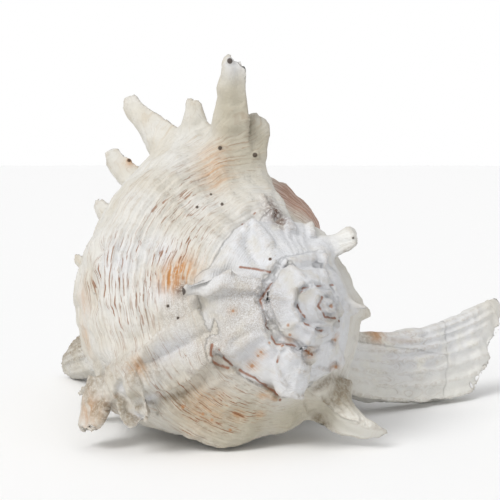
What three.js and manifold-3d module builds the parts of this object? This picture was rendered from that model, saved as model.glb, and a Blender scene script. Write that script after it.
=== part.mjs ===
// Ramose murex shell, lying on its mouth with the spire turned to the front right
import * as THREE from 'three';
import { mergeVertices } from 'three/addons/utils/BufferGeometryUtils.js';
import Module from 'manifold-3d';

const wasm = await Module();
wasm.setup();

// Size and growth, in millimetres and in turns counted back from the lip
const SUTURE_RADIUS = 35.4;
const GROWTH = 0.442;
const GROWTH_CHANGE = 0.071;
const SUTURE_DEPTH = 0.712;
const SUTURE_DEPTH_AT_LIP = 0.367;
const LIP_ANGLE = -8.5;
const LIP_TURN = -0.02;
const LAST_TURN = 4.6;
const CORE_RADIUS = 2;

// Shoulder of the whorl: turn, radius over the suture radius, drop over the step out
const SHOULDER = [
  [-0.02, 1.26, 2.1], [0.12, 1.42, 1.7], [0.22, 1.6, 1.2], [0.32, 1.72, 0.95],
  [0.45, 1.72, 1.05], [0.62, 1.62, 1.1], [0.78, 1.45, 1.15], [0.95, 1.38, 1.2],
  [1.15, 1.46, 1.1], [1.5, 1.62, 1.0], [2.0, 1.68, 1.0], [3.0, 1.8, 1.0], [7.0, 1.8, 1.0],
];

// Whorl below the shoulder: radius and drop over the shoulder radius, how steady it stays
const BODY = [
  [1.03, 0.2, 0], [0.99, 0.46, 0], [0.86, 0.82, 0.1], [0.65, 1.16, 0.3], [0.44, 1.46, 0.6],
  [0.28, 1.76, 0.85], [0.21, 2.08, 1], [0.175, 2.4, 1], [0.11, 2.62, 1],
];

// Varices: turn, height over the radius
const VARICES = [
  [-0.02, 0.16], [0.268, 0.2], [0.575, 0.14], [0.875, 0.1], [1.174, 0.12], [1.45, 0.12],
  [1.745, 0.12], [2.03, 0.14], [2.19, 0.16], [2.48, 0.2], [2.73, 0.2], [3.0, 0.16], [3.3, 0.1],
];
const VARIX_BACK = 0.055;
const VARIX_FRONT = 0.016;
const VARIX_SLANT = 0.009;
const VARIX_BY_KNOT = [0, 0.05, 0.4, 0.95, 1.05, 1.05, 1.0, 1.0, 0.9, 0.7, 0.5, 0.3, 0];

// Knobs between the varices
const NODES = [0.155, 0.455, 0.705, 1.03, 1.33, 1.58, 1.88, 2.33, 2.61, 2.87, 3.15];
const NODE_HEIGHT = 0.09;
const NODE_WIDTH = 0.035;
const NODE_BY_KNOT = [0, 0, 0.35, 1, 0.5, 0.1, 0, 0, 0, 0, 0, 0, 0];

// Fronds: turn, knot, length, lean to the apex, sweep to the mouth, half width, half depth,
// bend to the mouth, width left at the tip, depth left at the tip, hollow, slant of the tip
const FRONDS = [
  // lip varix, with its broad fan at the shoulder
  [-0.05, 3.1, 60, -10, -9, 6, 20, -0.27, 0.5, 1.5, 0.35, 0.16],
  [-0.01, 4.7, 22, -10, 10, 8, 6, 0.1, 0.4, 0.4, 0.7, 0],
  [0, 5.8, 24, -10, 12, 7, 6, 0.1, 0.4, 0.4, 0.7, 0],
  [0.01, 6.9, 20, -10, 12, 7, 6, 0.1, 0.4, 0.4, 0.7, 0],
  [0.02, 8, 16, -10, 10, 6, 5, 0.1, 0.4, 0.4, 0.7, 0],
  [0.03, 9.2, 12, -15, 10, 5, 4.5, 0.1, 0.4, 0.4, 0.7, 0],
  // varix on top, with the tall spine and its spur
  [0.268, 2.7, 30, 0, -13, 9, 10, 0, 0.6, 0.62, 0.5, 0],
  [0.249, 2.6, 17.5, 0, -3, 7, 12, 0, 0.6, 0.5, 0.5, 0],
  [0.282, 4, 10.5, 20, -10, 8, 9, 0, 0.4, 0.35, 0.5, 0],
  [0.293, 5, 24, -28, -13, 9, 9, 0, 0.45, 0.4, 0.5, 0],
  [0.302, 6, 17, -24, -14, 7, 8, 0, 0.65, 0.55, 0.5, 0],
  [0.311, 7, 15, 0, -12, 7, 6, 0, 0.45, 0.45, 0.5, 0],
  [0.322, 8.2, 18, -20, -12, 6, 5, 0, 0.4, 0.4, 0.5, 0],
  // varix at the lower left, its fronds curled back
  [0.58, 2.9, 14, 0, -76, 6.5, 6, 0, 0.75, 0.8, 0.85, 0],
  [0.59, 4.8, 12, 0, -48, 6.5, -6, 0, 0.8, 0.8, 0.85, 0],
  [0.605, 6.6, 12, -60, -10, 5, 5, -0.2, 0.6, 0.6, 0.7, 0],
  [0.62, 8.2, 12, -50, -10, 5, 5, 0, 0.4, 0.4, 0.7, 0],
  // varix at the lower right
  [0.832, 2.2, 23, 8, 34, 7, 16, -0.75, 0.5, 0.35, 0.4, 0],
  // horns of the spire
  [1.155, 2.3, 9.5, 10, 17, 5, 5, 0, 0.85, 0.85, 0.3, 0],
  [1.46, 2.9, 9, -40, -20, 5, 5, -0.2, 0.6, 0.6, 0.3, 0],
  [1.745, 2.2, 7, -45, 0, 3, 6, 0, 1, 0.9, 0.35, 0],
  [2.03, 2.5, 5, 20, 20, 3, 4, 0, 0.3, 0.3, 0.35, 0],
];

// Ridges along the ramp: first and last turn, first and last knot,
// half width at both ends, half height at both ends
const RIDGES = [
  [1.436, 1.468, 0.7, 3.3, 2.8, 3.4, 2.8, 3.6],
  [0.55, 0.585, 0.6, 3, 6, 7.5, 4.5, 6],
  [1.562, 1.592, 0.9, 3.2, 3.2, 4.4, 2.4, 3.2],
  [1.695, 1.75, 0.8, 3, 3, 5.2, 2.2, 2.8],
  [1.19, 1.16, 1, 2.6, 2.8, 4, 2.4, 3.4],
  [0.262, 0.27, 0.6, 2.8, 9, 12, 2.5, 4],
  [0.84, 0.852, 1, 2.5, 4, 6, 3, 4.5],
  [1.03, 1.02, 1.2, 3, 2.4, 2.4, 2, 3],
  [1.253, 1.253, 2.3, 3.2, 2, 2, 1.8, 2.2],
  [1.205, 1.205, 2.3, 3.2, 1.6, 1.6, 1.6, 2],
  [1.33, 1.33, 1.6, 3.2, 2.4, 3, 1.4, 2.4],
  [1.88, 1.88, 1.2, 3.1, 1.8, 2.4, 1.4, 2],
  [2.03, 2.02, 1.2, 3.1, 1.6, 2, 1.2, 1.8],
];
const RIDGE_RINGS = 5;
const RIDGE_SIDES = 6;
const SPIRE_POINTS = [2.19, 2.33, 2.48, 2.61, 2.73, 2.87, 3.0, 3.15, 3.3];
const SPIRE_RIDGE = 0.13;
const FROND_RINGS = 5;
const FROND_SIDES = 8;
const FROND_ROOT = 5;
const FROND_TAPER = 1.3;
const FROND_BLUNT = 0.72;
const FROND_FLOOR = 0.1;
const FROND_SHIFT = 0.15;

// Mouth: wall left under the outside, reach and columella side of the room behind the lip
const WALL = 4.2;
const MOUTH_TURNS = 0.36;
const MOUTH_STEPS = 12;
const MOUTH_OUTER_KNOTS = [2.3, 2.7, 3.2, 4, 5, 6, 6.8, 7.4];
const MOUTH_INNER = [[0.36, 0.97], [0.3, 0.78], [0.3, 0.52], [0.36, 0.26], [0.48, 0.08]];

// Siphonal canal: a slit under the neck, from and to a depth and a radius
const CANAL_HALF_WIDTH = 1.7;
const CANAL_DEPTHS = [112, 184];
const CANAL_RADII = [14, 3];
const CANAL_FLOOR = -3;
const CANAL_OPEN = 26;
const CANAL_STEPS = 8;
const CANAL_BEND_FROM = 120;
const CANAL_BEND = 6.5;
const CANAL_BEND_REACH = 70;

// Pillar along the axis, and the blunt tip of the spire
const PILLAR_RADIUS = 9;
const PILLAR_SWELL = 0.5;
const PILLAR_TAPER_FROM = 135;
const PILLAR_TAPER = 0.1;
const PILLAR_STEPS = 12;
const PILLAR_SIDES = 8;
const TIP_RADIUS = 2.9;
const TIP_DEPTH = 2.6;

// Stretches of whorl drawn one on another: from turn, to turn, step
const LAST_WHORL = [-0.02, 0.97, 0.04];
const SECOND_WHORL = [0.94, 1.5, 0.045];
const SPIRE_WHORLS = [[1.45, 2.4, 0.05], [2.35, 3.3, 0.055], [3.25, 4.15, 0.09], [4.1, 4.6, 0.12]];
const WHORL_KNOTS = [0, 1, 2, 3, 3.5, 4, 4.5, 5, 6, 7, 8, 9, 10.5, 12];
const SPIRE_KNOTS = [0, 1, 2, 3, 4, 5];

// Pose: yaw and rise of the apex as seen, then the viewing height taken out again
const YAW = 32;
const RISE = 8;
const LOOK_DOWN = 5;

const SHELL_COLOUR = 0xe9e1d2;

const radians = THREE.MathUtils.degToRad;

// Smooth curve through a table of knots, read at x from the given column
function smooth(table, column, x) {
  const last = table.length - 1;
  const at = Math.min(Math.max(x, table[0][0]), table[last][0]);
  let i = 0;
  while (i < last - 1 && at > table[i + 1][0]) i += 1;
  const slope = (k) => {
    const a = table[Math.max(k - 1, 0)];
    const b = table[Math.min(k + 1, last)];
    return (b[column] - a[column]) / (b[0] - a[0]);
  };
  const step = table[i + 1][0] - table[i][0];
  const t = (at - table[i][0]) / step;
  const t2 = t * t;
  const t3 = t2 * t;
  return (2 * t3 - 3 * t2 + 1) * table[i][column]
    + (t3 - 2 * t2 + t) * step * slope(i)
    + (3 * t2 - 2 * t3) * table[i + 1][column]
    + (t3 - t2) * step * slope(i + 1);
}

// Radius and depth of the suture at a turn
function suture(turn) {
  const radius = SUTURE_RADIUS * Math.exp(-GROWTH * turn - GROWTH_CHANGE * turn * turn);
  const depth = radius * (SUTURE_DEPTH + SUTURE_DEPTH_AT_LIP * Math.exp(-turn / 0.8));
  return [radius, depth];
}

// Radius and depth of the shoulder at a turn
function shoulder(turn) {
  const [r, h] = suture(turn);
  const radius = r * smooth(SHOULDER, 1, turn);
  return [radius, h + (radius - r) * smooth(SHOULDER, 2, turn)];
}

// Height of the varices at a turn: a slow rise behind, a steep drop in front
function varixAt(turn) {
  let sum = 0;
  for (const [at, height] of VARICES) {
    const d = turn - at;
    const fall = d > 0 ? Math.pow(d / VARIX_BACK, 1.3) : (d / VARIX_FRONT) ** 2;
    sum += height * Math.exp(-fall);
  }
  return sum;
}

// Height of the knobs at a turn
function nodeAt(turn) {
  let sum = 0;
  for (const at of NODES) sum += Math.exp(-(((turn - at) / NODE_WIDTH) ** 2));
  return sum;
}

// Knots of the whorl profile at a turn, as radius and depth
function profileKnots(turn) {
  const [r, h] = suture(turn);
  const [R, H] = shoulder(turn);
  const [R0, H0] = shoulder(0);
  const hold = Math.min(Math.max((1.35 - turn) * 3, 0), 1);
  const knots = [
    [r * 0.8, h - 0.02 * r], [r, h + 0.07 * r],
    [r + 0.46 * (R - r), h + 0.5 * (H - h) + 0.06 * r], [R, H],
  ];
  for (const [a, b, steady] of BODY) {
    const q = steady * hold;
    knots.push([a * (R * (1 - q) + R0 * q), (H + b * R) * (1 - q) + (H0 + b * R0) * q]);
  }
  const node = NODE_HEIGHT * nodeAt(turn);
  return knots.map(([radius, depth], k) => [
    radius * (1 + varixAt(turn - VARIX_SLANT * (k - 3)) * VARIX_BY_KNOT[k]
      + node * NODE_BY_KNOT[k]),
    depth,
  ]);
}

// Point of the profile between knots, as radius and depth
function profileAt(turn, knot) {
  const knots = profileKnots(turn);
  const last = knots.length - 1;
  const i = Math.min(Math.max(Math.floor(knot), 0), last - 1);
  const t = knot - i;
  const pick = (k) => knots[Math.min(Math.max(k, 0), last)];
  const [p0, p1, p2, p3] = [pick(i - 1), pick(i), pick(i + 1), pick(i + 2)];
  return [0, 1].map((c) => 0.5 * (2 * p1[c] + (p2[c] - p0[c]) * t
    + (2 * p0[c] - 5 * p1[c] + 4 * p2[c] - p3[c]) * t * t
    + (3 * p1[c] - p0[c] - 3 * p2[c] + p3[c]) * t * t * t));
}

// Angle round the axis at a turn
function angleAt(turn) {
  return radians(LIP_ANGLE) + 2 * Math.PI * turn;
}

// Side step of the canal, towards the ground, at a depth
function canalShift(depth) {
  const past = Math.max(depth - CANAL_BEND_FROM, 0) / CANAL_BEND_REACH;
  return -CANAL_BEND * past * past;
}

// Place radius and depth at a turn in the frame of the shell, apex at the origin
function place(turn, radius, depth) {
  const a = angleAt(turn);
  return new THREE.Vector3(
    radius * Math.cos(a), radius * Math.sin(a) + canalShift(depth), -depth,
  );
}

// Point on the outside of the shell
function surfaceAt(turn, knot) {
  const [radius, depth] = profileAt(turn, knot);
  return place(turn, radius, depth);
}

// Closed loft through rings of equal length, ends filled with the given triangles
function loft(rings, capTriangles) {
  const sides = rings[0].length;
  const points = rings.flat();
  const index = [];
  for (let i = 0; i + 1 < rings.length; i += 1) {
    for (let j = 0; j < sides; j += 1) {
      const a = i * sides + j;
      const b = i * sides + ((j + 1) % sides);
      index.push(a, b, a + sides, b, b + sides, a + sides);
    }
  }
  const end = (rings.length - 1) * sides;
  for (const triangle of capTriangles) {
    const [a, b, c] = [...triangle].sort((m, n) => m - n);
    index.push(a, c, b);
    index.push(end + a, end + b, end + c);
  }
  return solidFrom(points, index);
}

// Fan of triangles that fills a convex ring
function fan(sides) {
  const triangles = [];
  for (let j = 1; j + 1 < sides; j += 1) triangles.push([0, j, j + 1]);
  return triangles;
}

// Manifold solid from points and triangles, turned outside out where needed
function solidFrom(points, index) {
  const geometry = new THREE.BufferGeometry().setFromPoints(points);
  geometry.setIndex(index);
  const merged = mergeVertices(geometry, 1e-5);
  const position = merged.getAttribute('position');
  const triangles = Array.from(merged.getIndex().array);
  const kept = [];
  for (let i = 0; i < triangles.length; i += 3) {
    const [a, b, c] = triangles.slice(i, i + 3);
    if (a !== b && b !== c && c !== a) kept.push(a, b, c);
  }
  let volume = 0;
  const p = new THREE.Vector3();
  const q = new THREE.Vector3();
  const r = new THREE.Vector3();
  for (let i = 0; i < kept.length; i += 3) {
    p.fromBufferAttribute(position, kept[i]);
    q.fromBufferAttribute(position, kept[i + 1]);
    r.fromBufferAttribute(position, kept[i + 2]);
    volume += p.dot(q.cross(r));
  }
  if (volume < 0) {
    for (let i = 0; i < kept.length; i += 3) [kept[i], kept[i + 1]] = [kept[i + 1], kept[i]];
  }
  return new wasm.Manifold(new wasm.Mesh({
    numProp: 3,
    vertProperties: new Float32Array(position.array),
    triVerts: new Uint32Array(kept),
  }));
}

// Turns at which the whorl is drawn: an even step, closer at the varices and knobs
function turnsBetween(from, to, step) {
  const marks = [];
  for (const [at] of VARICES) marks.push(at - 0.03, at - 0.013, at, at + 0.03, at + 0.07);
  for (const at of NODES) marks.push(at - 0.03, at, at + 0.03);
  const turns = [from, to];
  for (const mark of marks) {
    if (mark > from + 0.008 && mark < to - 0.008) turns.push(mark);
  }
  turns.sort((a, b) => a - b);
  const list = [turns[0]];
  for (const turn of turns.slice(1)) {
    const gap = turn - list[list.length - 1];
    if (gap < 0.008) continue;
    const parts = Math.ceil(gap / step);
    const start = list[list.length - 1];
    for (let k = 1; k <= parts; k += 1) list.push(start + (gap * k) / parts);
  }
  return list;
}

// Filled stretch of whorl, from the profile in to the axis
function whorlStretch(from, to, step, knots) {
  const rings = turnsBetween(from, to, step).map((turn) => {
    const outline = knots.map((knot) => profileAt(turn, knot));
    const top = outline[0][1];
    const bottom = outline[outline.length - 1][1];
    const core = Math.min(CORE_RADIUS, outline[0][0] * 0.4);
    return [[core, top], ...outline, [core, bottom]].map(([r, h]) => place(turn, r, h));
  });
  return loft(rings, fan(knots.length + 2));
}

// Pillar along the axis
function pillar() {
  const rings = [];
  const top = suture(LAST_TURN)[1];
  const bottom = profileAt(0, 11.8)[1];
  for (let i = 0; i <= PILLAR_STEPS; i += 1) {
    const depth = top + (bottom - top) * (i / PILLAR_STEPS) ** 1.5;
    const neck = PILLAR_RADIUS - PILLAR_TAPER * Math.max(0, depth - PILLAR_TAPER_FROM);
    const radius = Math.min(0.8 + depth * PILLAR_SWELL, neck);
    const ring = [];
    for (let j = 0; j < PILLAR_SIDES; j += 1) {
      const a = (j / PILLAR_SIDES) * 2 * Math.PI;
      ring.push(new THREE.Vector3(
        radius * Math.cos(a), radius * Math.sin(a) + canalShift(depth), -depth,
      ));
    }
    rings.push(ring);
  }
  return loft(rings, fan(PILLAR_SIDES));
}

// Blunt tip of the spire
function firstWhorl() {
  const geometry = new THREE.SphereGeometry(TIP_RADIUS, 12, 8);
  geometry.deleteAttribute('normal');
  geometry.deleteAttribute('uv');
  const merged = mergeVertices(geometry, 1e-4);
  const position = merged.getAttribute('position');
  const points = [];
  for (let i = 0; i < position.count; i += 1) {
    points.push(new THREE.Vector3().fromBufferAttribute(position, i)
      .add(new THREE.Vector3(0, 0, -TIP_DEPTH)));
  }
  return solidFrom(points, Array.from(merged.getIndex().array));
}

// Directions at the root of a frond: outward, apexward and mouthward
function frondFrame(turn, knot) {
  const a = angleAt(turn);
  const outward = new THREE.Vector3(Math.cos(a), Math.sin(a), 0);
  const mouthward = new THREE.Vector3(Math.sin(a), -Math.cos(a), 0);
  const apexward = new THREE.Vector3(0, 0, 1);
  const along = surfaceAt(turn, knot - 0.01).sub(surfaceAt(turn, knot + 0.01)).normalize();
  const normal = along.cross(mouthward).normalize();
  if (normal.dot(outward) < 0) normal.negate();
  normal.add(outward).normalize();
  return { normal, apexward, mouthward };
}

// Gutter shaped frond, back to the old side and open to the mouth
function frond(row) {
  const [turn, knot, length, lean, sweep, width, depth, bend] = row;
  const [tipWidth, tipDepth, hollow, slant] = row.slice(8);
  const { normal, apexward, mouthward } = frondFrame(turn, knot);
  const heading = normal.multiplyScalar(Math.cos(radians(lean)))
    .addScaledVector(apexward, Math.sin(radians(lean)))
    .multiplyScalar(Math.cos(radians(sweep)))
    .addScaledVector(mouthward, Math.sin(radians(sweep)))
    .normalize();
  const root = surfaceAt(turn, knot).addScaledVector(heading, -FROND_ROOT);
  const across = new THREE.Vector3().crossVectors(mouthward, heading).normalize();
  const face = new THREE.Vector3().crossVectors(heading, across).normalize();
  const reach = length + FROND_ROOT;
  const rings = [];
  for (let i = 0; i <= FROND_RINGS; i += 1) {
    const w = i / FROND_RINGS;
    const taper = Math.pow(1 - w, FROND_TAPER);
    const end = i === FROND_RINGS ? FROND_BLUNT : 1;
    const wide = width * end * (tipWidth + (1 - tipWidth) * taper);
    const deep = depth * end * (tipDepth + (1 - tipDepth) * taper);
    const ring = [];
    for (let j = 0; j < FROND_SIDES; j += 1) {
      const a = (j / FROND_SIDES) * 2 * Math.PI;
      const c = Math.cos(a);
      const s = Math.sin(a);
      const groove = s > 0 ? FROND_FLOOR * s - hollow * s * s : s;
      const at = w * (1 - slant * w * s);
      const centre = root.clone().addScaledVector(heading, reach * at)
        .addScaledVector(mouthward, reach * bend * at * at);
      ring.push(centre.addScaledVector(across, wide * c)
        .addScaledVector(face, deep * (groove + FROND_SHIFT)));
    }
    rings.push(ring);
  }
  return loft(rings, gutterCap(FROND_SIDES));
}

// Round bar lying along the ramp between two turns and two knots, half sunk in the skin
function ridge(row) {
  const [turn0, turn1, knot0, knot1, wide0, wide1, high0, high1] = row;
  const mix = (a, b, w) => a + (b - a) * w;
  const at = (w) => surfaceAt(mix(turn0, turn1, w), mix(knot0, knot1, w));
  const rings = [];
  for (let i = 0; i <= RIDGE_RINGS; i += 1) {
    const w = mix(0.01, 0.99, i / RIDGE_RINGS);
    const turn = mix(turn0, turn1, w);
    const knot = mix(knot0, knot1, w);
    const along = at(w + 0.01).sub(at(w - 0.01)).normalize();
    const around = surfaceAt(turn - 0.002, knot).sub(surfaceAt(turn + 0.002, knot));
    const centre = at(w);
    const normal = new THREE.Vector3().crossVectors(along, around).normalize();
    if (normal.x * centre.x + normal.y * centre.y < 0) normal.negate();
    const side = new THREE.Vector3().crossVectors(normal, along);
    const end = Math.sqrt(1 - (2 * w - 1) ** 6);
    const ring = [];
    for (let j = 0; j < RIDGE_SIDES; j += 1) {
      const a = (j / RIDGE_SIDES) * 2 * Math.PI;
      ring.push(centre.clone()
        .addScaledVector(side, mix(wide0, wide1, w) * end * Math.cos(a))
        .addScaledVector(normal, mix(high0, high1, w) * end * Math.sin(a)));
    }
    rings.push(ring);
  }
  return loft(rings, fan(RIDGE_SIDES));
}

// Ridge of an early whorl, its size in step with the radius of the whorl
function spireRidge(turn) {
  const size = SPIRE_RIDGE * suture(turn)[0];
  return ridge([turn, turn, 1.2, 3.1, size, size, 0.8 * size, size]);
}

// Triangles that fill the crescent end of a frond
function gutterCap(sides) {
  const half = sides / 2;
  const triangles = [];
  for (let j = 0; j < half; j += 1) {
    const a = j;
    const b = j + 1;
    const c = (sides - j) % sides;
    const d = sides - j - 1;
    if (a !== c) triangles.push([a, b, c]);
    if (b !== d) triangles.push([b, d, c]);
  }
  return triangles;
}

// Point inside the wall, under a knot of the profile
function underWall(turn, knot) {
  const [r0, h0] = profileAt(turn, knot - 0.1);
  const [r1, h1] = profileAt(turn, knot + 0.1);
  const step = Math.hypot(r1 - r0, h1 - h0);
  const [radius, depth] = profileAt(turn, knot);
  return [radius - (WALL * (h1 - h0)) / step, depth + (WALL * (r1 - r0)) / step];
}

// Room inside the last whorl, open at the lip and closing behind
function mouthRoom() {
  const rings = [];
  for (let i = 0; i <= MOUTH_STEPS; i += 1) {
    const turn = LIP_TURN - 0.03 + ((MOUTH_TURNS + 0.05) * i) / MOUTH_STEPS;
    const at = Math.max(turn, LIP_TURN + 0.05);
    const outer = MOUTH_OUTER_KNOTS.map((knot) => underWall(at, knot));
    const top = outer[0][1];
    const bottom = outer[outer.length - 1][1];
    const [R] = shoulder(at);
    const inner = MOUTH_INNER.map(([a, b]) => [R * a, top + (bottom - top) * b]);
    const outline = [...outer, ...inner];
    const mean = [0, 1].map((c) => outline.reduce((sum, p) => sum + p[c], 0) / outline.length);
    const left = Math.max(1 - turn / MOUTH_TURNS, 0);
    const size = Math.min(1, 0.15 + 1.25 * Math.sqrt(left));
    const [r, h] = [mean[0] + (1 - size) * 6, mean[1]];
    rings.push(outline.map((p) => place(turn, r + (p[0] - r) * size, h + (p[1] - h) * size)));
  }
  return loft(rings, fan(rings[0].length));
}

// Slit that carries the mouth on down the canal
function canalSlit() {
  const a = angleAt(LIP_TURN);
  const out = new THREE.Vector3(Math.cos(a), Math.sin(a), 0);
  const mouthward = new THREE.Vector3(Math.sin(a), -Math.cos(a), 0);
  const rings = [];
  for (let i = 0; i <= CANAL_STEPS; i += 1) {
    const w = i / CANAL_STEPS;
    const depth = CANAL_DEPTHS[0] * (1 - w) + CANAL_DEPTHS[1] * w;
    const radius = CANAL_RADII[0] * (1 - w) + CANAL_RADII[1] * w;
    const half = CANAL_HALF_WIDTH * (1.5 - 0.5 * w);
    const centre = new THREE.Vector3(0, canalShift(depth), -depth).addScaledVector(out, radius);
    rings.push([
      centre.clone().addScaledVector(out, -half).addScaledVector(mouthward, CANAL_FLOOR),
      centre.clone().addScaledVector(out, half).addScaledVector(mouthward, CANAL_FLOOR),
      centre.clone().addScaledVector(out, half * 1.2).addScaledVector(mouthward, CANAL_OPEN),
      centre.clone().addScaledVector(out, -half * 1.2).addScaledVector(mouthward, CANAL_OPEN),
    ]);
  }
  return loft(rings, fan(4));
}

// Turn the finished solid to the way the shell lies and set it on the ground
function layDown(solid) {
  const yaw = radians(YAW);
  const rise = radians(RISE);
  const look = radians(LOOK_DOWN);
  const apex = new THREE.Vector3(
    Math.sin(yaw) * Math.cos(rise), Math.sin(rise), Math.cos(yaw) * Math.cos(rise),
  );
  const side = new THREE.Vector3().crossVectors(new THREE.Vector3(0, 1, 0), apex).normalize();
  const up = new THREE.Vector3().crossVectors(apex, side);
  const toWorld = (v) => new THREE.Vector3(
    v.x,
    v.y * Math.sin(look) - v.z * Math.cos(look),
    v.y * Math.cos(look) + v.z * Math.sin(look),
  );
  const axes = [toWorld(side), toWorld(up), toWorld(apex)];
  const mesh = solid.getMesh();
  const points = [];
  const box = new THREE.Box3();
  for (let i = 0; i < mesh.vertProperties.length; i += mesh.numProp) {
    const p = new THREE.Vector3();
    for (let k = 0; k < 3; k += 1) p.addScaledVector(axes[k], mesh.vertProperties[i + k]);
    points.push(p);
    box.expandByPoint(p);
  }
  const shift = new THREE.Vector3(
    -(box.min.x + box.max.x) / 2, -(box.min.y + box.max.y) / 2, -box.min.z,
  );
  for (const p of points) p.add(shift);
  const geometry = new THREE.BufferGeometry().setFromPoints(points);
  geometry.setIndex(Array.from(mesh.triVerts));
  return geometry;
}

// The whole shell as one solid
function shellSolid() {
  let outer = whorlStretch(...LAST_WHORL, WHORL_KNOTS);
  for (const row of FRONDS) {
    if (row[0] < 0.95) outer = outer.add(frond(row));
  }
  let shell = outer.subtract(mouthRoom());
  shell = shell.add(whorlStretch(...SECOND_WHORL, WHORL_KNOTS));
  for (const row of SPIRE_WHORLS) shell = shell.add(whorlStretch(...row, SPIRE_KNOTS));
  for (const row of RIDGES) shell = shell.add(ridge(row));
  for (const turn of SPIRE_POINTS) shell = shell.add(spireRidge(turn));
  for (const row of FRONDS) {
    if (row[0] > 0.95) shell = shell.add(frond(row));
  }
  shell = shell.add(pillar());
  shell = shell.add(firstWhorl());
  return shell.subtract(canalSlit());
}

function shellMaterial() {
  return new THREE.MeshStandardMaterial({ color: SHELL_COLOUR, roughness: 0.7, metalness: 0 });
}

const model = new THREE.Group();
const shell = new THREE.Mesh(layDown(shellSolid()), shellMaterial());
shell.name = 'shell';
model.add(shell);
export default model;
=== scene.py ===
import bpy
import numpy as np
import openvdb
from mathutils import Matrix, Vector
from mathutils.bvhtree import BVHTree


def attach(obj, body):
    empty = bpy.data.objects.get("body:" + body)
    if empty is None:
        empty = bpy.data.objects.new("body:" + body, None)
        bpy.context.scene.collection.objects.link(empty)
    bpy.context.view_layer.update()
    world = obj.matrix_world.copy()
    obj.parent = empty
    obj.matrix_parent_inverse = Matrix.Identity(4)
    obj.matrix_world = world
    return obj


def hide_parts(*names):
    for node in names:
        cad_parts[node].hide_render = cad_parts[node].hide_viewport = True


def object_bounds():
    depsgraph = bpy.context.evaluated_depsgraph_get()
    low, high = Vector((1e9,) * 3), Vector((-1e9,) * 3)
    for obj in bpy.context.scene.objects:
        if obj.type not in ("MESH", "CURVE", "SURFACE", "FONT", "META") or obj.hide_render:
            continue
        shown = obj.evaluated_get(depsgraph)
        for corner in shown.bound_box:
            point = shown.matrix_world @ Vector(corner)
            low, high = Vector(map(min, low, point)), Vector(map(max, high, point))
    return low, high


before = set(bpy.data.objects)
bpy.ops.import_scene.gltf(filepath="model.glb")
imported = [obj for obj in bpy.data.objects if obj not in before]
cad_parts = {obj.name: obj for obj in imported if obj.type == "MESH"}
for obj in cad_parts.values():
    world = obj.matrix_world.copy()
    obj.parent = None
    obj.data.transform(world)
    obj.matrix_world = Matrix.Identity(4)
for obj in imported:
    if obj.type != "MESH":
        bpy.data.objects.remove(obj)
CAD_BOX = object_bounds()
BOX_MM = np.array(CAD_BOX[0]) * 1000, np.array(CAD_BOX[1]) * 1000

# Lengths are millimetres until a mesh is written, turns are counted back from the lip,
# and the shell's own frame has its tip at the origin and its axis along z, mouth end down
FULL_TURN = 2 * np.pi

# Growth of the shell: radius and depth of the suture, how fast both fall with the turns, angle
# and turn of the lip, the last turn of the spire, and the core that the whorls close on
SUTURE_RADIUS = 35.4
GROWTH = 0.442
GROWTH_CHANGE = 0.071
SUTURE_DEPTH = 0.712
SUTURE_DEPTH_AT_LIP = 0.367
DEPTH_FADE = 0.8
LIP_ANGLE = np.radians(-8.5)
LIP_TURN = -0.02
LAST_TURN = 4.6
CORE_RADIUS = 2.0
CORE_SHARE = 0.4

# Shoulder: turn, radius over the suture radius, drop over the step out
SHOULDER = np.array([
    [-0.02, 1.26, 2.1], [0.12, 1.42, 1.7], [0.22, 1.6, 1.2], [0.32, 1.72, 0.95],
    [0.45, 1.72, 1.05], [0.62, 1.62, 1.1], [0.78, 1.45, 1.15], [0.95, 1.38, 1.2],
    [1.15, 1.46, 1.1], [1.5, 1.62, 1.0], [2.0, 1.68, 1.0], [3.0, 1.8, 1.0], [7.0, 1.8, 1.0],
])

# Ramp above the shoulder, over the suture radius: the edge tucked under the whorl before, the dip
# at the suture, and the middle of the ramp
TUCKED_RADIUS = 0.8
TUCKED_RISE = 0.02
SUTURE_DIP = 0.07
RAMP_OUT = 0.46
RAMP_DOWN = 0.5
RAMP_DIP = 0.06

# Whorl below the shoulder: radius and drop over the shoulder radius, how steady it stays
BODY = np.array([
    [1.03, 0.2, 0], [0.99, 0.46, 0], [0.86, 0.82, 0.1], [0.65, 1.16, 0.3], [0.44, 1.46, 0.6],
    [0.28, 1.76, 0.85], [0.21, 2.08, 1], [0.175, 2.4, 1], [0.11, 2.62, 1],
])

# Knots number the profile's points from the suture down to the canal's end
LAST_KNOT = 12
SHOULDER_KNOT = 3

# Shoulder radius of the last whorl, which the sizes of marks are measured against
SHOULDER_RADIUS = 56

# Turn up to which the steady knots keep to the lip's profile, and how fast that ends
STEADY_UNTIL = 1.35
STEADY_FADE = 3

# Varices: turn, height over the radius; then their widths in turns behind and in front, the power
# of the soft side, the slant in turns a knot, and their share at each knot
VARICES = [
    (-0.02, 0.16), (0.268, 0.2), (0.575, 0.14), (0.875, 0.1), (1.174, 0.12), (1.45, 0.12),
    (1.745, 0.12), (2.03, 0.14), (2.19, 0.16), (2.48, 0.2), (2.73, 0.2), (3.0, 0.16), (3.3, 0.1),
]
VARIX_BACK = 0.055
VARIX_BACK_POWER = 1.3
VARIX_FRONT = 0.016
VARIX_SLANT = 0.009
VARIX_BY_KNOT = np.array([0, 0.05, 0.4, 0.95, 1.05, 1.05, 1.0, 1.0, 0.9, 0.7, 0.5, 0.3, 0])

# Knobs between the varices: turns, height over the radius, width in turns, share at each knot
NODES = (0.155, 0.455, 0.705, 1.03, 1.33, 1.58, 1.88, 2.33, 2.61, 2.87, 3.15)
NODE_HEIGHT = 0.09
NODE_WIDTH = 0.035
NODE_BY_KNOT = np.array([0, 0, 0.35, 1, 0.5, 0.1, 0, 0, 0, 0, 0, 0, 0])

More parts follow.
